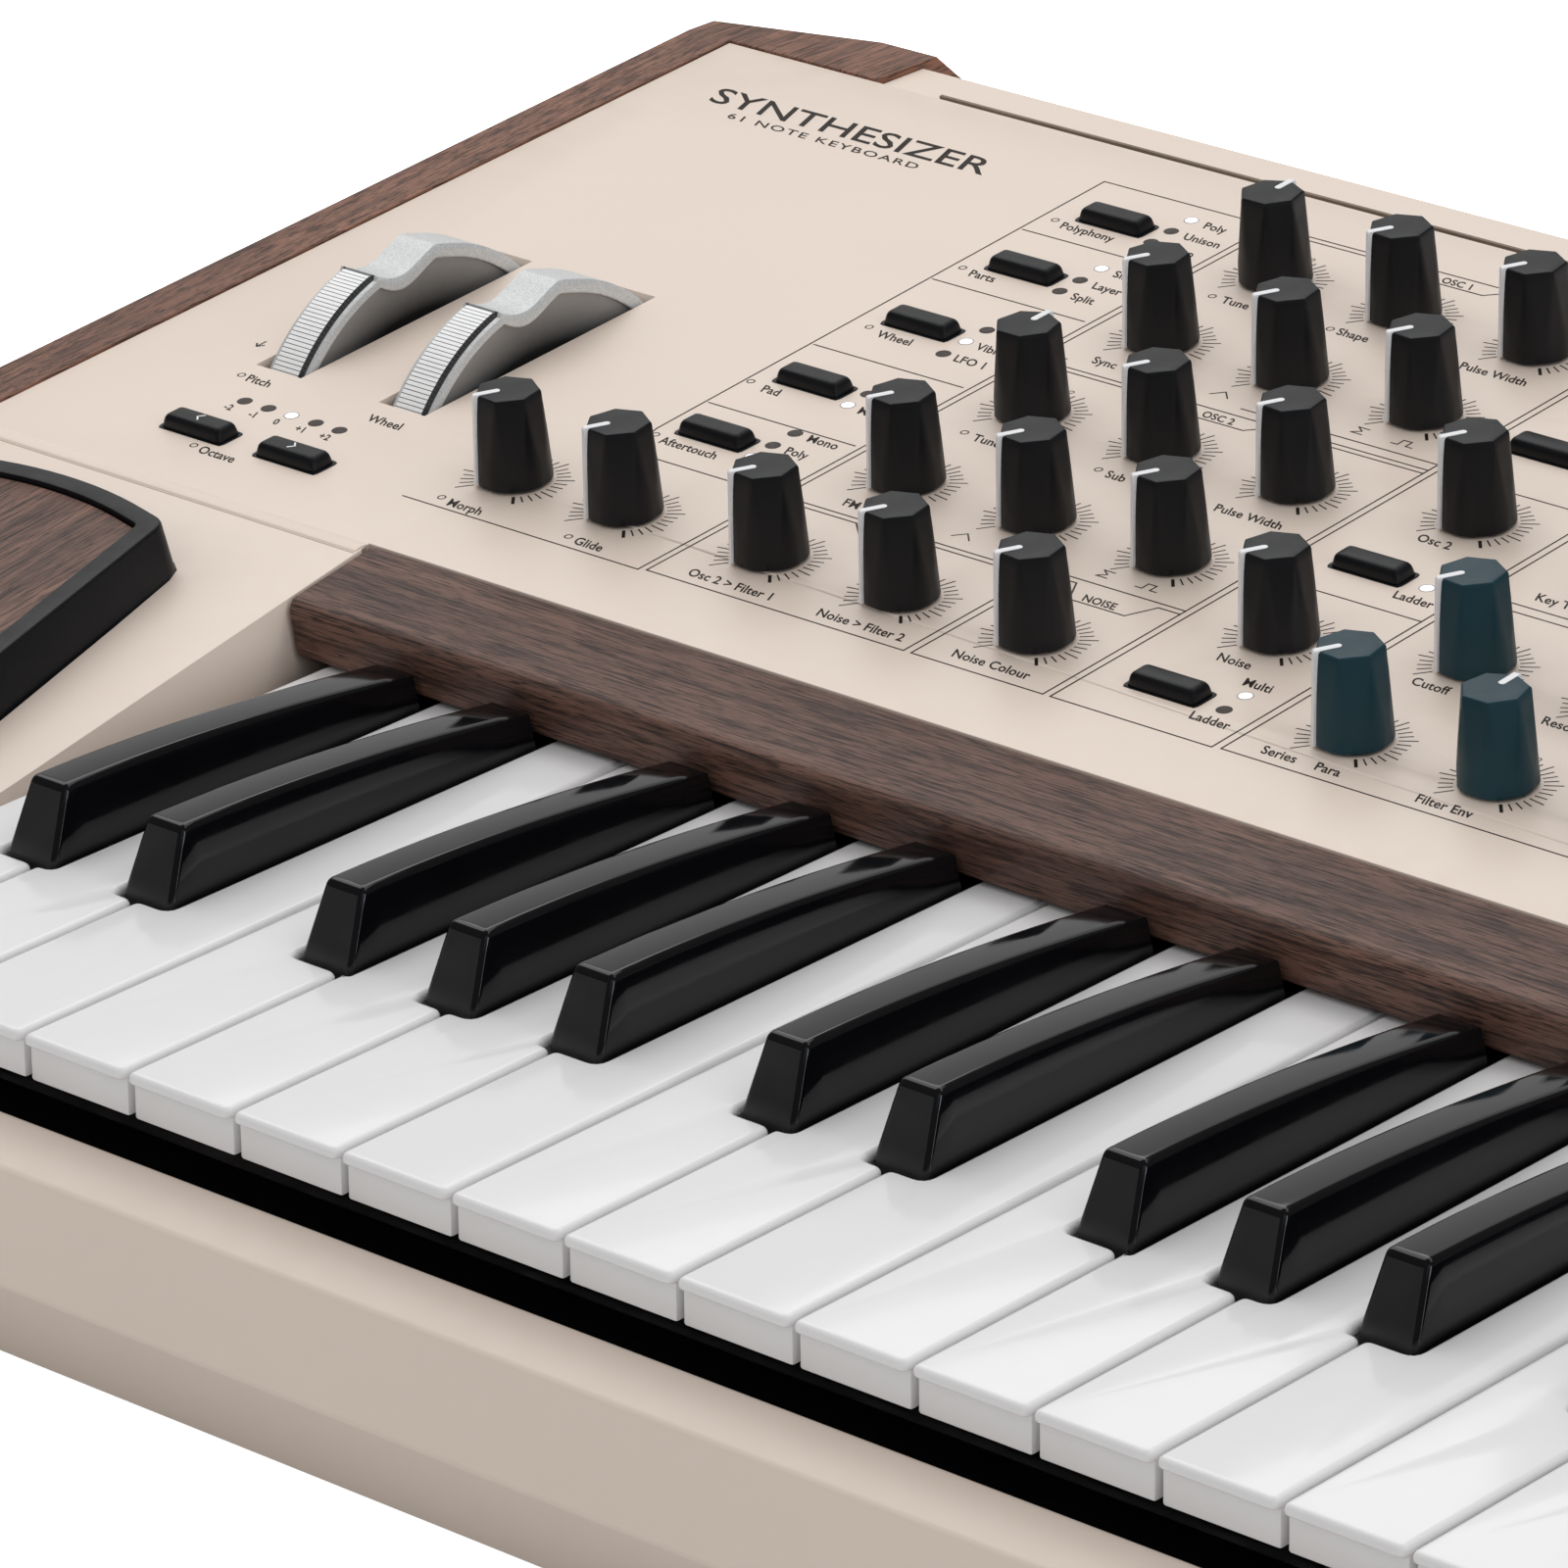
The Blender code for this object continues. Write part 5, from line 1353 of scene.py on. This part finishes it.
def make_pad():
    outer = pad_plan(5.0)
    edge = 0.6
    layers = [(inset(outer, -4.3), -4.9), (inset(outer, -4.3), -2.7),
              (inset(outer, -PAD_DRAFT - 0.1), -2.6), (inset(outer, -PAD_DRAFT), -2.4),
              (inset(outer, -0.12), PAD_HEIGHT - edge),
              (inset(outer, 0.06), PAD_HEIGHT - edge * 0.4),
              (inset(outer, 0.25), PAD_HEIGHT - edge * 0.1), (inset(outer, 0.6), PAD_HEIGHT)]
    shape = bmesh.new()
    inner = pad_plan(2.0, PAD_RIM)
    layers += [(inset(inner, margin), z) for margin, z in
               ((-0.25, PAD_HEIGHT), (-0.05, PAD_HEIGHT - 0.1), (0.0, PAD_HEIGHT - 0.3),
                (0.0, PAD_FLOOR))]
    loft(shape, stacked(layers))
    faced_out(shape)
    surround = add_piece("pad_frame", shape, on_deck(), ["black_satin"], CASE,
                         35.0)
    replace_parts(surround, "pad_surround")
    shape = bmesh.new()
    slab(shape, inset(inner, 0.3), PAD_FLOOR + 1.4, PAD_HEIGHT - 0.9, edge=0.4)
    plate = add_piece("pad_top", shape, on_deck(), ["walnut_pad"], "pad_plate", 40.0)
    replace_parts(plate, "pad_plate")


# ---------------------------------------------------------------- right side of the panel

def make_faders():
    caps = bmesh.new()
    marks = []
    for step in range(FADERS):
        x = FADER_X + step * FADER_PITCH
        profile = [(-5.4, 1.4), (-5.4, 3.0), (-4.6, 7.0), (-4.1, 7.4), (-2.0, 6.8), (0.0, 6.55),
                   (2.0, 6.8), (4.1, 7.4), (4.6, 7.0), (5.4, 3.0), (5.4, 1.4)]
        rings = []
        for across, shrink in ((-3.5, 0.5), (-3.2, 0.1), (-2.6, 0.0), (2.6, 0.0), (3.2, 0.1),
                               (3.5, 0.5)):
            rings.append([(x + across, y, z - (shrink if z > 2.0 else 0.0)) for y, z in profile])
        loft(caps, rings)
        block(caps, (x - 0.8, -1.5, -6.0), (x + 0.8, 1.5, 3.0), 0.15)
        marks.append(x)
    block(caps, (FADER_X - 4, -3, -8.0), (marks[-1] + 4, 3, -5.0), 0.4)
    for x in marks:
        stroke(caps, [(x - 3.1, 0.0), (x + 3.1, 0.0)], 0.5, 6.3, 6.62, material=1)
    faced_out(caps)
    piece = add_piece("fader_caps", caps, on_panel(0.0, FADER_Y), ["black_satin", "white_ink"],
                      "envelope_faders", 40.0)
    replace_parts(piece, "envelope_faders")
    slots = bmesh.new()
    for x in marks:
        outer = rounded(rectangle(x - 2.1, x + 2.1, -21.4, 21.4), 2.0)
        inner = rounded(rectangle(x - 1.3, x + 1.3, -20.4, 20.4), 1.2)
        loft(slots, stacked([(inner, -2.2), (outer, -0.4), (outer, 0.18),
                             (inset(outer, 0.2), 0.28), (inner, 0.2)]), closed=True)
    faced_out(slots)
    add_piece("fader_slots", slots, on_panel(0.0, FADER_Y), ["black_plastic"], CASE,
              40.0)


def make_matrix():
    low_x, high_x, low_y, high_y = MATRIX
    low_v = along_panel(low_y) + 0.1
    high_v = along_panel(high_y) - 0.1
    pitch_x = (high_x - low_x) / 12
    pitch_v = (high_v - low_v) / 8
    shape = bmesh.new()
    slab(shape, rectangle(low_x, high_x, low_v, high_v), -3.0, -0.6, edge=0.3)
    for column in range(12):
        for row in range(8):
            x = low_x + (column + 0.5) * pitch_x
            v = low_v + (row + 0.5) * pitch_v
            outline = rounded(rectangle(x - 6.6, x + 6.6, v - 5.0, v + 5.0), 1.5)
            slab(shape, outline, -1.0, 1.6, edge=0.7)
    pads = add_piece("matrix_pads", shape, PANEL, ["silicone"],
                     "matrix_keypad", 40.0)
    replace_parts(pads, "matrix_keypad")
    frame_ring(rectangle(low_x, high_x, low_v, high_v), "matrix_bezel", 1.6)


def frame_ring(corners, name, width):
    """A thin moulded frame round an opening of the panel."""
    inner = rounded(inset(corners, 0.05), 1.0)
    outer = rounded(inset(corners, -width), 2.0)
    shape = bmesh.new()
    loft(shape, stacked([(inner, 0.05), (outer, 0.05), (outer, 0.4), (inset(outer, 0.3), 0.62),
                         (inset(inner, -0.3), 0.62), (inner, 0.4)]), closed=True)
    faced_out(shape)
    add_piece(name, shape, PANEL, ["black_plastic"], CASE,
              40.0)


def make_display():
    low_x, high_x, low_y, high_y = DISPLAY
    low_v = along_panel(low_y) + 0.1
    high_v = along_panel(high_y) - 0.1
    shape = bmesh.new()
    slab(shape, rounded(rectangle(low_x, high_x, low_v, high_v), 1.0), -3.4, -0.1, edge=0.25)
    window = add_piece("display_glass", shape, PANEL, ["glass"], CASE)
    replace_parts(window, "display_window")
    frame_ring(rectangle(low_x, high_x, low_v, high_v), "display_bezel", 2.4)


# ---------------------------------------------------------------- rear

def on_rear(x, z):
    """A spot on the rear wall whose own z points backwards."""
    return Matrix.Translation(world(x, REAR_WALL, z)) @ Matrix.Rotation(-math.pi / 2, 4, 'X')


def make_sockets():
    nuts = bmesh.new()
    bodies = bmesh.new()
    contacts = bmesh.new()
    block(bodies, (JACK_PLACES[0] - 12, REAR_WALL - 17.8, JACK_Z - 14),
          (USB_X + 14, REAR_WALL - 15.8, JACK_Z + 10), 0.3)
    sockets = add_piece("socket_board", bodies, flat(), ["black_plastic"], CASE)
    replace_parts(sockets, "rear_sockets")
    place = on_rear(0.0, JACK_Z)
    barrel = bmesh.new()
    for x in JACK_PLACES:
        tube(barrel, 5.9, 3.6, -15.8, 0.35, 32, x, 0.0, 0.3)
        tube(nuts, 4.9, 3.75, 0.3, 0.42, 6, x, 0.0, 0.04)
        tube(contacts, 3.95, 3.45, -14.0, 0.38, 32, x, 0.0, 0.1)
        turned(contacts, [(3.55, -13.6), (3.55, -12.4)], 24, x)
    for x in DIN_PLACES:
        tube(barrel, 7.9, 6.6, -15.8, 0.28, 40, x, 0.0, 0.3)
        turned(barrel, [(6.7, -9.6), (6.7, -8.2)], 32, x)
        for step in range(5):
            angle = math.radians(-90 + 45 * step)
            px = x + 4.6 * math.sin(angle)
            py = -4.6 * math.cos(angle)
            tube(contacts, 0.75, 0.4, -8.3, -7.6, 12, px, py, 0.1)
    outer = rounded(rectangle(USB_X - 6.1, USB_X + 6.1, -6.1, 6.1), 0.8)
    inner = rounded(rectangle(USB_X - 4.6, USB_X + 4.6, -4.6, 4.6), 1.4)
    loft(barrel, stacked([(inner, -14.0), (outer, -14.0), (outer, 0.2), (inner, 0.2)]),
         closed=True)
    block(contacts, (USB_X - 2.8, -1.6, -13.0), (USB_X + 2.8, 1.6, -2.0), 0.3)
    for shape in (barrel, nuts, contacts):
        faced_out(shape)
    add_piece("socket_barrels", barrel, place, ["black_plastic"], CASE, 35.0)
    add_piece("socket_nuts", nuts, place, ["steel"], CASE)
    add_piece("socket_contacts", contacts, place, ["steel"], CASE, 35.0)


def make_power():
    pins = bmesh.new()
    for dx, dz in ((-5.0, -1.5), (5.0, -1.5), (0.0, 3.0)):
        block(pins, (INLET_X + dx - 1.0, 404.2, POWER_Z + dz - 2.0),
              (INLET_X + dx + 1.0, 415.0, POWER_Z + dz + 2.0), 0.35)
    add_piece("inlet_pins", pins, flat(), ["steel"], CASE)
    half_x, half_z = SWITCH_HALF
    profile = [(-8.0, -7.0), (6.1, -half_z), (6.5, -half_z + 0.5), (5.2, -4.5), (4.5, 0.0),
               (5.2, 4.5), (6.5, half_z - 0.5), (6.1, half_z), (-8.0, 7.0)]
    shape = bmesh.new()
    rings = []
    for x, shrink in ((-half_x, 0.5), (-half_x + 0.15, 0.15), (-half_x + 0.5, 0.0),
                      (half_x - 0.5, 0.0), (half_x - 0.15, 0.15), (half_x, 0.5)):
        rings.append([(x, y - (shrink if y > 0 else 0.0), z) for y, z in profile])
    loft(shape, rings)
    marks = bmesh.new()
    block(marks, (-0.35, 5.3, 3.4), (0.35, 5.85, 6.6), 0.05)
    mark_ring = bmesh.new()
    tube(mark_ring, 1.7, 1.2, -0.1, 0.12, 24, 0.0, 0.0, 0.04)
    bmesh.ops.transform(mark_ring, matrix=Matrix.Translation((0, 5.55, -5.2))
                        @ Matrix.Rotation(-math.pi / 2 + 0.16, 4, 'X'), verts=mark_ring.verts)
    mesh = bpy.data.meshes.new("mark")
    mark_ring.to_mesh(mesh)
    mark_ring.free()
    marks.from_mesh(mesh)
    faced_out(shape)
    faced_out(marks)
    tilt = Matrix.Rotation(SWITCH_REST, 4, 'X')
    place = Matrix.Translation(world(SWITCH_X, SWITCH_Y, POWER_Z)) @ tilt
    rocker = add_piece("switch_rocker", shape, place, ["black_plastic"], "power_switch",
                       35.0)
    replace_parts(rocker, "power_switch")
    add_piece("switch_marks", marks, place, ["white_ink"], "power_switch")
    bezel = bmesh.new()
    outer = rounded(rectangle(SWITCH_X - 11.2, SWITCH_X + 11.2, -12.6, 12.6), 1.5)
    inner = rounded(rectangle(SWITCH_X - 9.6, SWITCH_X + 9.6, -10.9, 10.9), 0.8)
    loft(bezel, stacked([(inner, -4.0), (inset(inner, -0.3), -4.0), (inset(inner, -0.3), 0.02),
                         (outer, 0.02), (outer, 0.25), (inset(outer, 0.25), 0.4),
                         (inner, 0.4)]), closed=True)
    faced_out(bezel)
    add_piece("switch_bezel", bezel, on_rear(0.0, POWER_Z), ["black_plastic"], CASE,
              40.0)


def screw(shape, x, y):
    """A pan head screw with a cross recess, on z = 0."""
    head = [(2.6, 0.0), (2.6, 0.15), (2.45, 0.35), (1.9, 0.44)]
    turned(shape, head, 24, x, y)
    stroke(shape, [(x - 1.2, y), (x + 1.2, y)], 0.5, 0.42, 0.47, material=1)
    stroke(shape, [(x, y - 1.2), (x, y + 1.2)], 0.5, 0.42, 0.47, material=1)


def make_screws():
    shape = bmesh.new()
    left = BODY_LEFT + 24.0
    right = BODY_RIGHT - 24.0
    count = 7
    for step in range(count):
        x = left + (right - left) * step / (count - 1)
        for z in (2.0, -49.0):
            screw(shape, x, -z)
    add_piece("rear_screws", shape, on_rear(0.0, 0.0), ["steel", "black_plastic"], CASE,
              40.0)
    shape = bmesh.new()
    for text, x, z in (("OUT", 96.0, 9.0), ("PEDALS", 164.0, 9.0), ("MIDI", 321.0, 12.0),
                       ("USB", 380.6, 9.0), ("POWER", SWITCH_X - 6.4, 12.0)):
        letters(shape, text, x, z, 3.2, 0.0, 1.0)
    upright = Matrix.Rotation(math.pi / 2, 4, 'X')
    place = Matrix.Translation(world(0, REAR_WALL, JACK_Z)) @ upright
    add_piece("rear_prints", shape, place, ["ink"], CASE)


# ---------------------------------------------------------------- stage

def area_light(name, place, target, size, power, colour=(1.0, 1.0, 1.0)):
    light = bpy.data.lights.new(name, 'AREA')
    light.shape = 'RECTANGLE'
    light.size, light.size_y = size
    light.energy = power
    light.color = colour
    item = bpy.data.objects.new(name, light)
    bpy.context.scene.collection.objects.link(item)
    item.location = place
    aim = Vector(target) - Vector(place)
    item.rotation_euler = aim.to_track_quat('-Z', 'Y').to_euler()


SKY = 0.66
MIRRORED_SKY = 0.12


def make_stage():
    shape = bmesh.new()
    bmesh.ops.create_grid(shape, x_segments=8, y_segments=8, size=6.0)
    mesh = bpy.data.meshes.new("floor")
    shape.to_mesh(mesh)
    shape.free()
    material, tree, shader = new_look("floor_paper", (0.78, 0.78, 0.78), 0.85)
    where = place_of(tree)
    fibres = noise(tree, where, 400.0, 4.0)
    tree.links.new(blended(tree, fibres, (0.78, 0.78, 0.78), (0.75, 0.75, 0.75)),
                   shader.inputs["Base Color"])
    shader.inputs["Emission Color"].default_value = (1.0, 1.0, 1.0, 1.0)
    seen_floor = add_node(tree, "ShaderNodeLightPath").outputs["Is Camera Ray"]
    tree.links.new(seen_floor, shader.inputs["Emission Strength"])
    mesh.materials.append(material)
    floor = bpy.data.objects.new("floor", mesh)
    bpy.context.scene.collection.objects.link(floor)
    floor.location = (0.0, 0.0, CAD_LOW.z - 0.0005)

    backdrop = bpy.data.worlds.new("studio")
    bpy.context.scene.world = backdrop
    backdrop.use_nodes = True
    sky = backdrop.node_tree.nodes["Background"]
    sky.inputs["Color"].default_value = (1.0, 1.0, 1.0, 1.0)
    rays = add_node(backdrop.node_tree, "ShaderNodeLightPath")
    dimmed = add_node(backdrop.node_tree, "ShaderNodeMath", {"operation": 'MULTIPLY_ADD'},
                      _0=rays.outputs["Is Glossy Ray"], _1=MIRRORED_SKY - SKY, _2=SKY)
    seen = add_node(backdrop.node_tree, "ShaderNodeMath", {"operation": 'MULTIPLY_ADD'},
                    _0=rays.outputs["Is Camera Ray"], _1=1.0 - SKY, _2=dimmed.outputs[0])
    backdrop.node_tree.links.new(seen.outputs[0], sky.inputs["Strength"])
    bpy.context.scene.view_settings.view_transform = "Standard"

    area_light("key_light", (-1.2, 0.6, 1.6), (-0.1, 0.0, 0.05), (1.6, 1.2), 11.0)
    area_light("top_light", (0.2, 0.9, 1.9), (0.0, 0.0, 0.05), (2.0, 0.8), 6.0)
    area_light("rear_light", (-1.83, 2.07, 1.17), (-0.1, 0.0, 0.05), (4.0, 2.0), 12.6)
    area_light("side_light", (1.9, -1.0, 1.5), (-0.1, 0.0, 0.05), (1.6, 1.4), 2.5,
               (0.80, 0.90, 1.0))
    area_light("low_light", (2.2, -0.1, 0.5), (-0.3, 0.0, 0.05), (0.5, 1.2), 8.0,
               (0.86, 0.93, 1.0))


CAMERA_PLACE = (0.7231, -1.1716, 0.6964)
CAMERA_RIGHT = Vector((0.7537, 0.6571, -0.0132))
CAMERA_UP = Vector((-0.2469, 0.3017, 0.9209))
CAMERA_BACK = Vector((0.6091, -0.6908, 0.3895))
CAMERA_LENS = 220.7


def make_camera():
    camera = bpy.data.cameras.new("camera")
    camera.sensor_width = 36.0
    camera.lens = CAMERA_LENS
    camera.clip_start = 0.05
    camera.clip_end = 50.0
    item = bpy.data.objects.new("camera", camera)
    bpy.context.scene.collection.objects.link(item)
    turn = Matrix((CAMERA_RIGHT, CAMERA_UP, CAMERA_BACK)).transposed()
    item.matrix_world = Matrix.Translation(CAMERA_PLACE) @ turn.to_4x4()
    bpy.context.scene.camera = item


KNOB_MESHES = {"black": knob_mesh("knob_black", ["black_satin", "white_ink"]),
               "teal": knob_mesh("knob_teal", ["teal_satin", "white_ink"])}

make_camera()
make_stage()
finish_case()
make_keys()
make_knobs()
make_encoder()
make_wheel("pitch_wheel", WHEEL_X[0], "pitch_wheel")
make_wheel("mod_wheel", WHEEL_X[1], "mod_wheel")
make_buttons()
make_lamps()
make_prints()
make_seam()
make_pad()
make_faders()
make_matrix()
make_display()
make_sockets()
make_power()
make_screws()
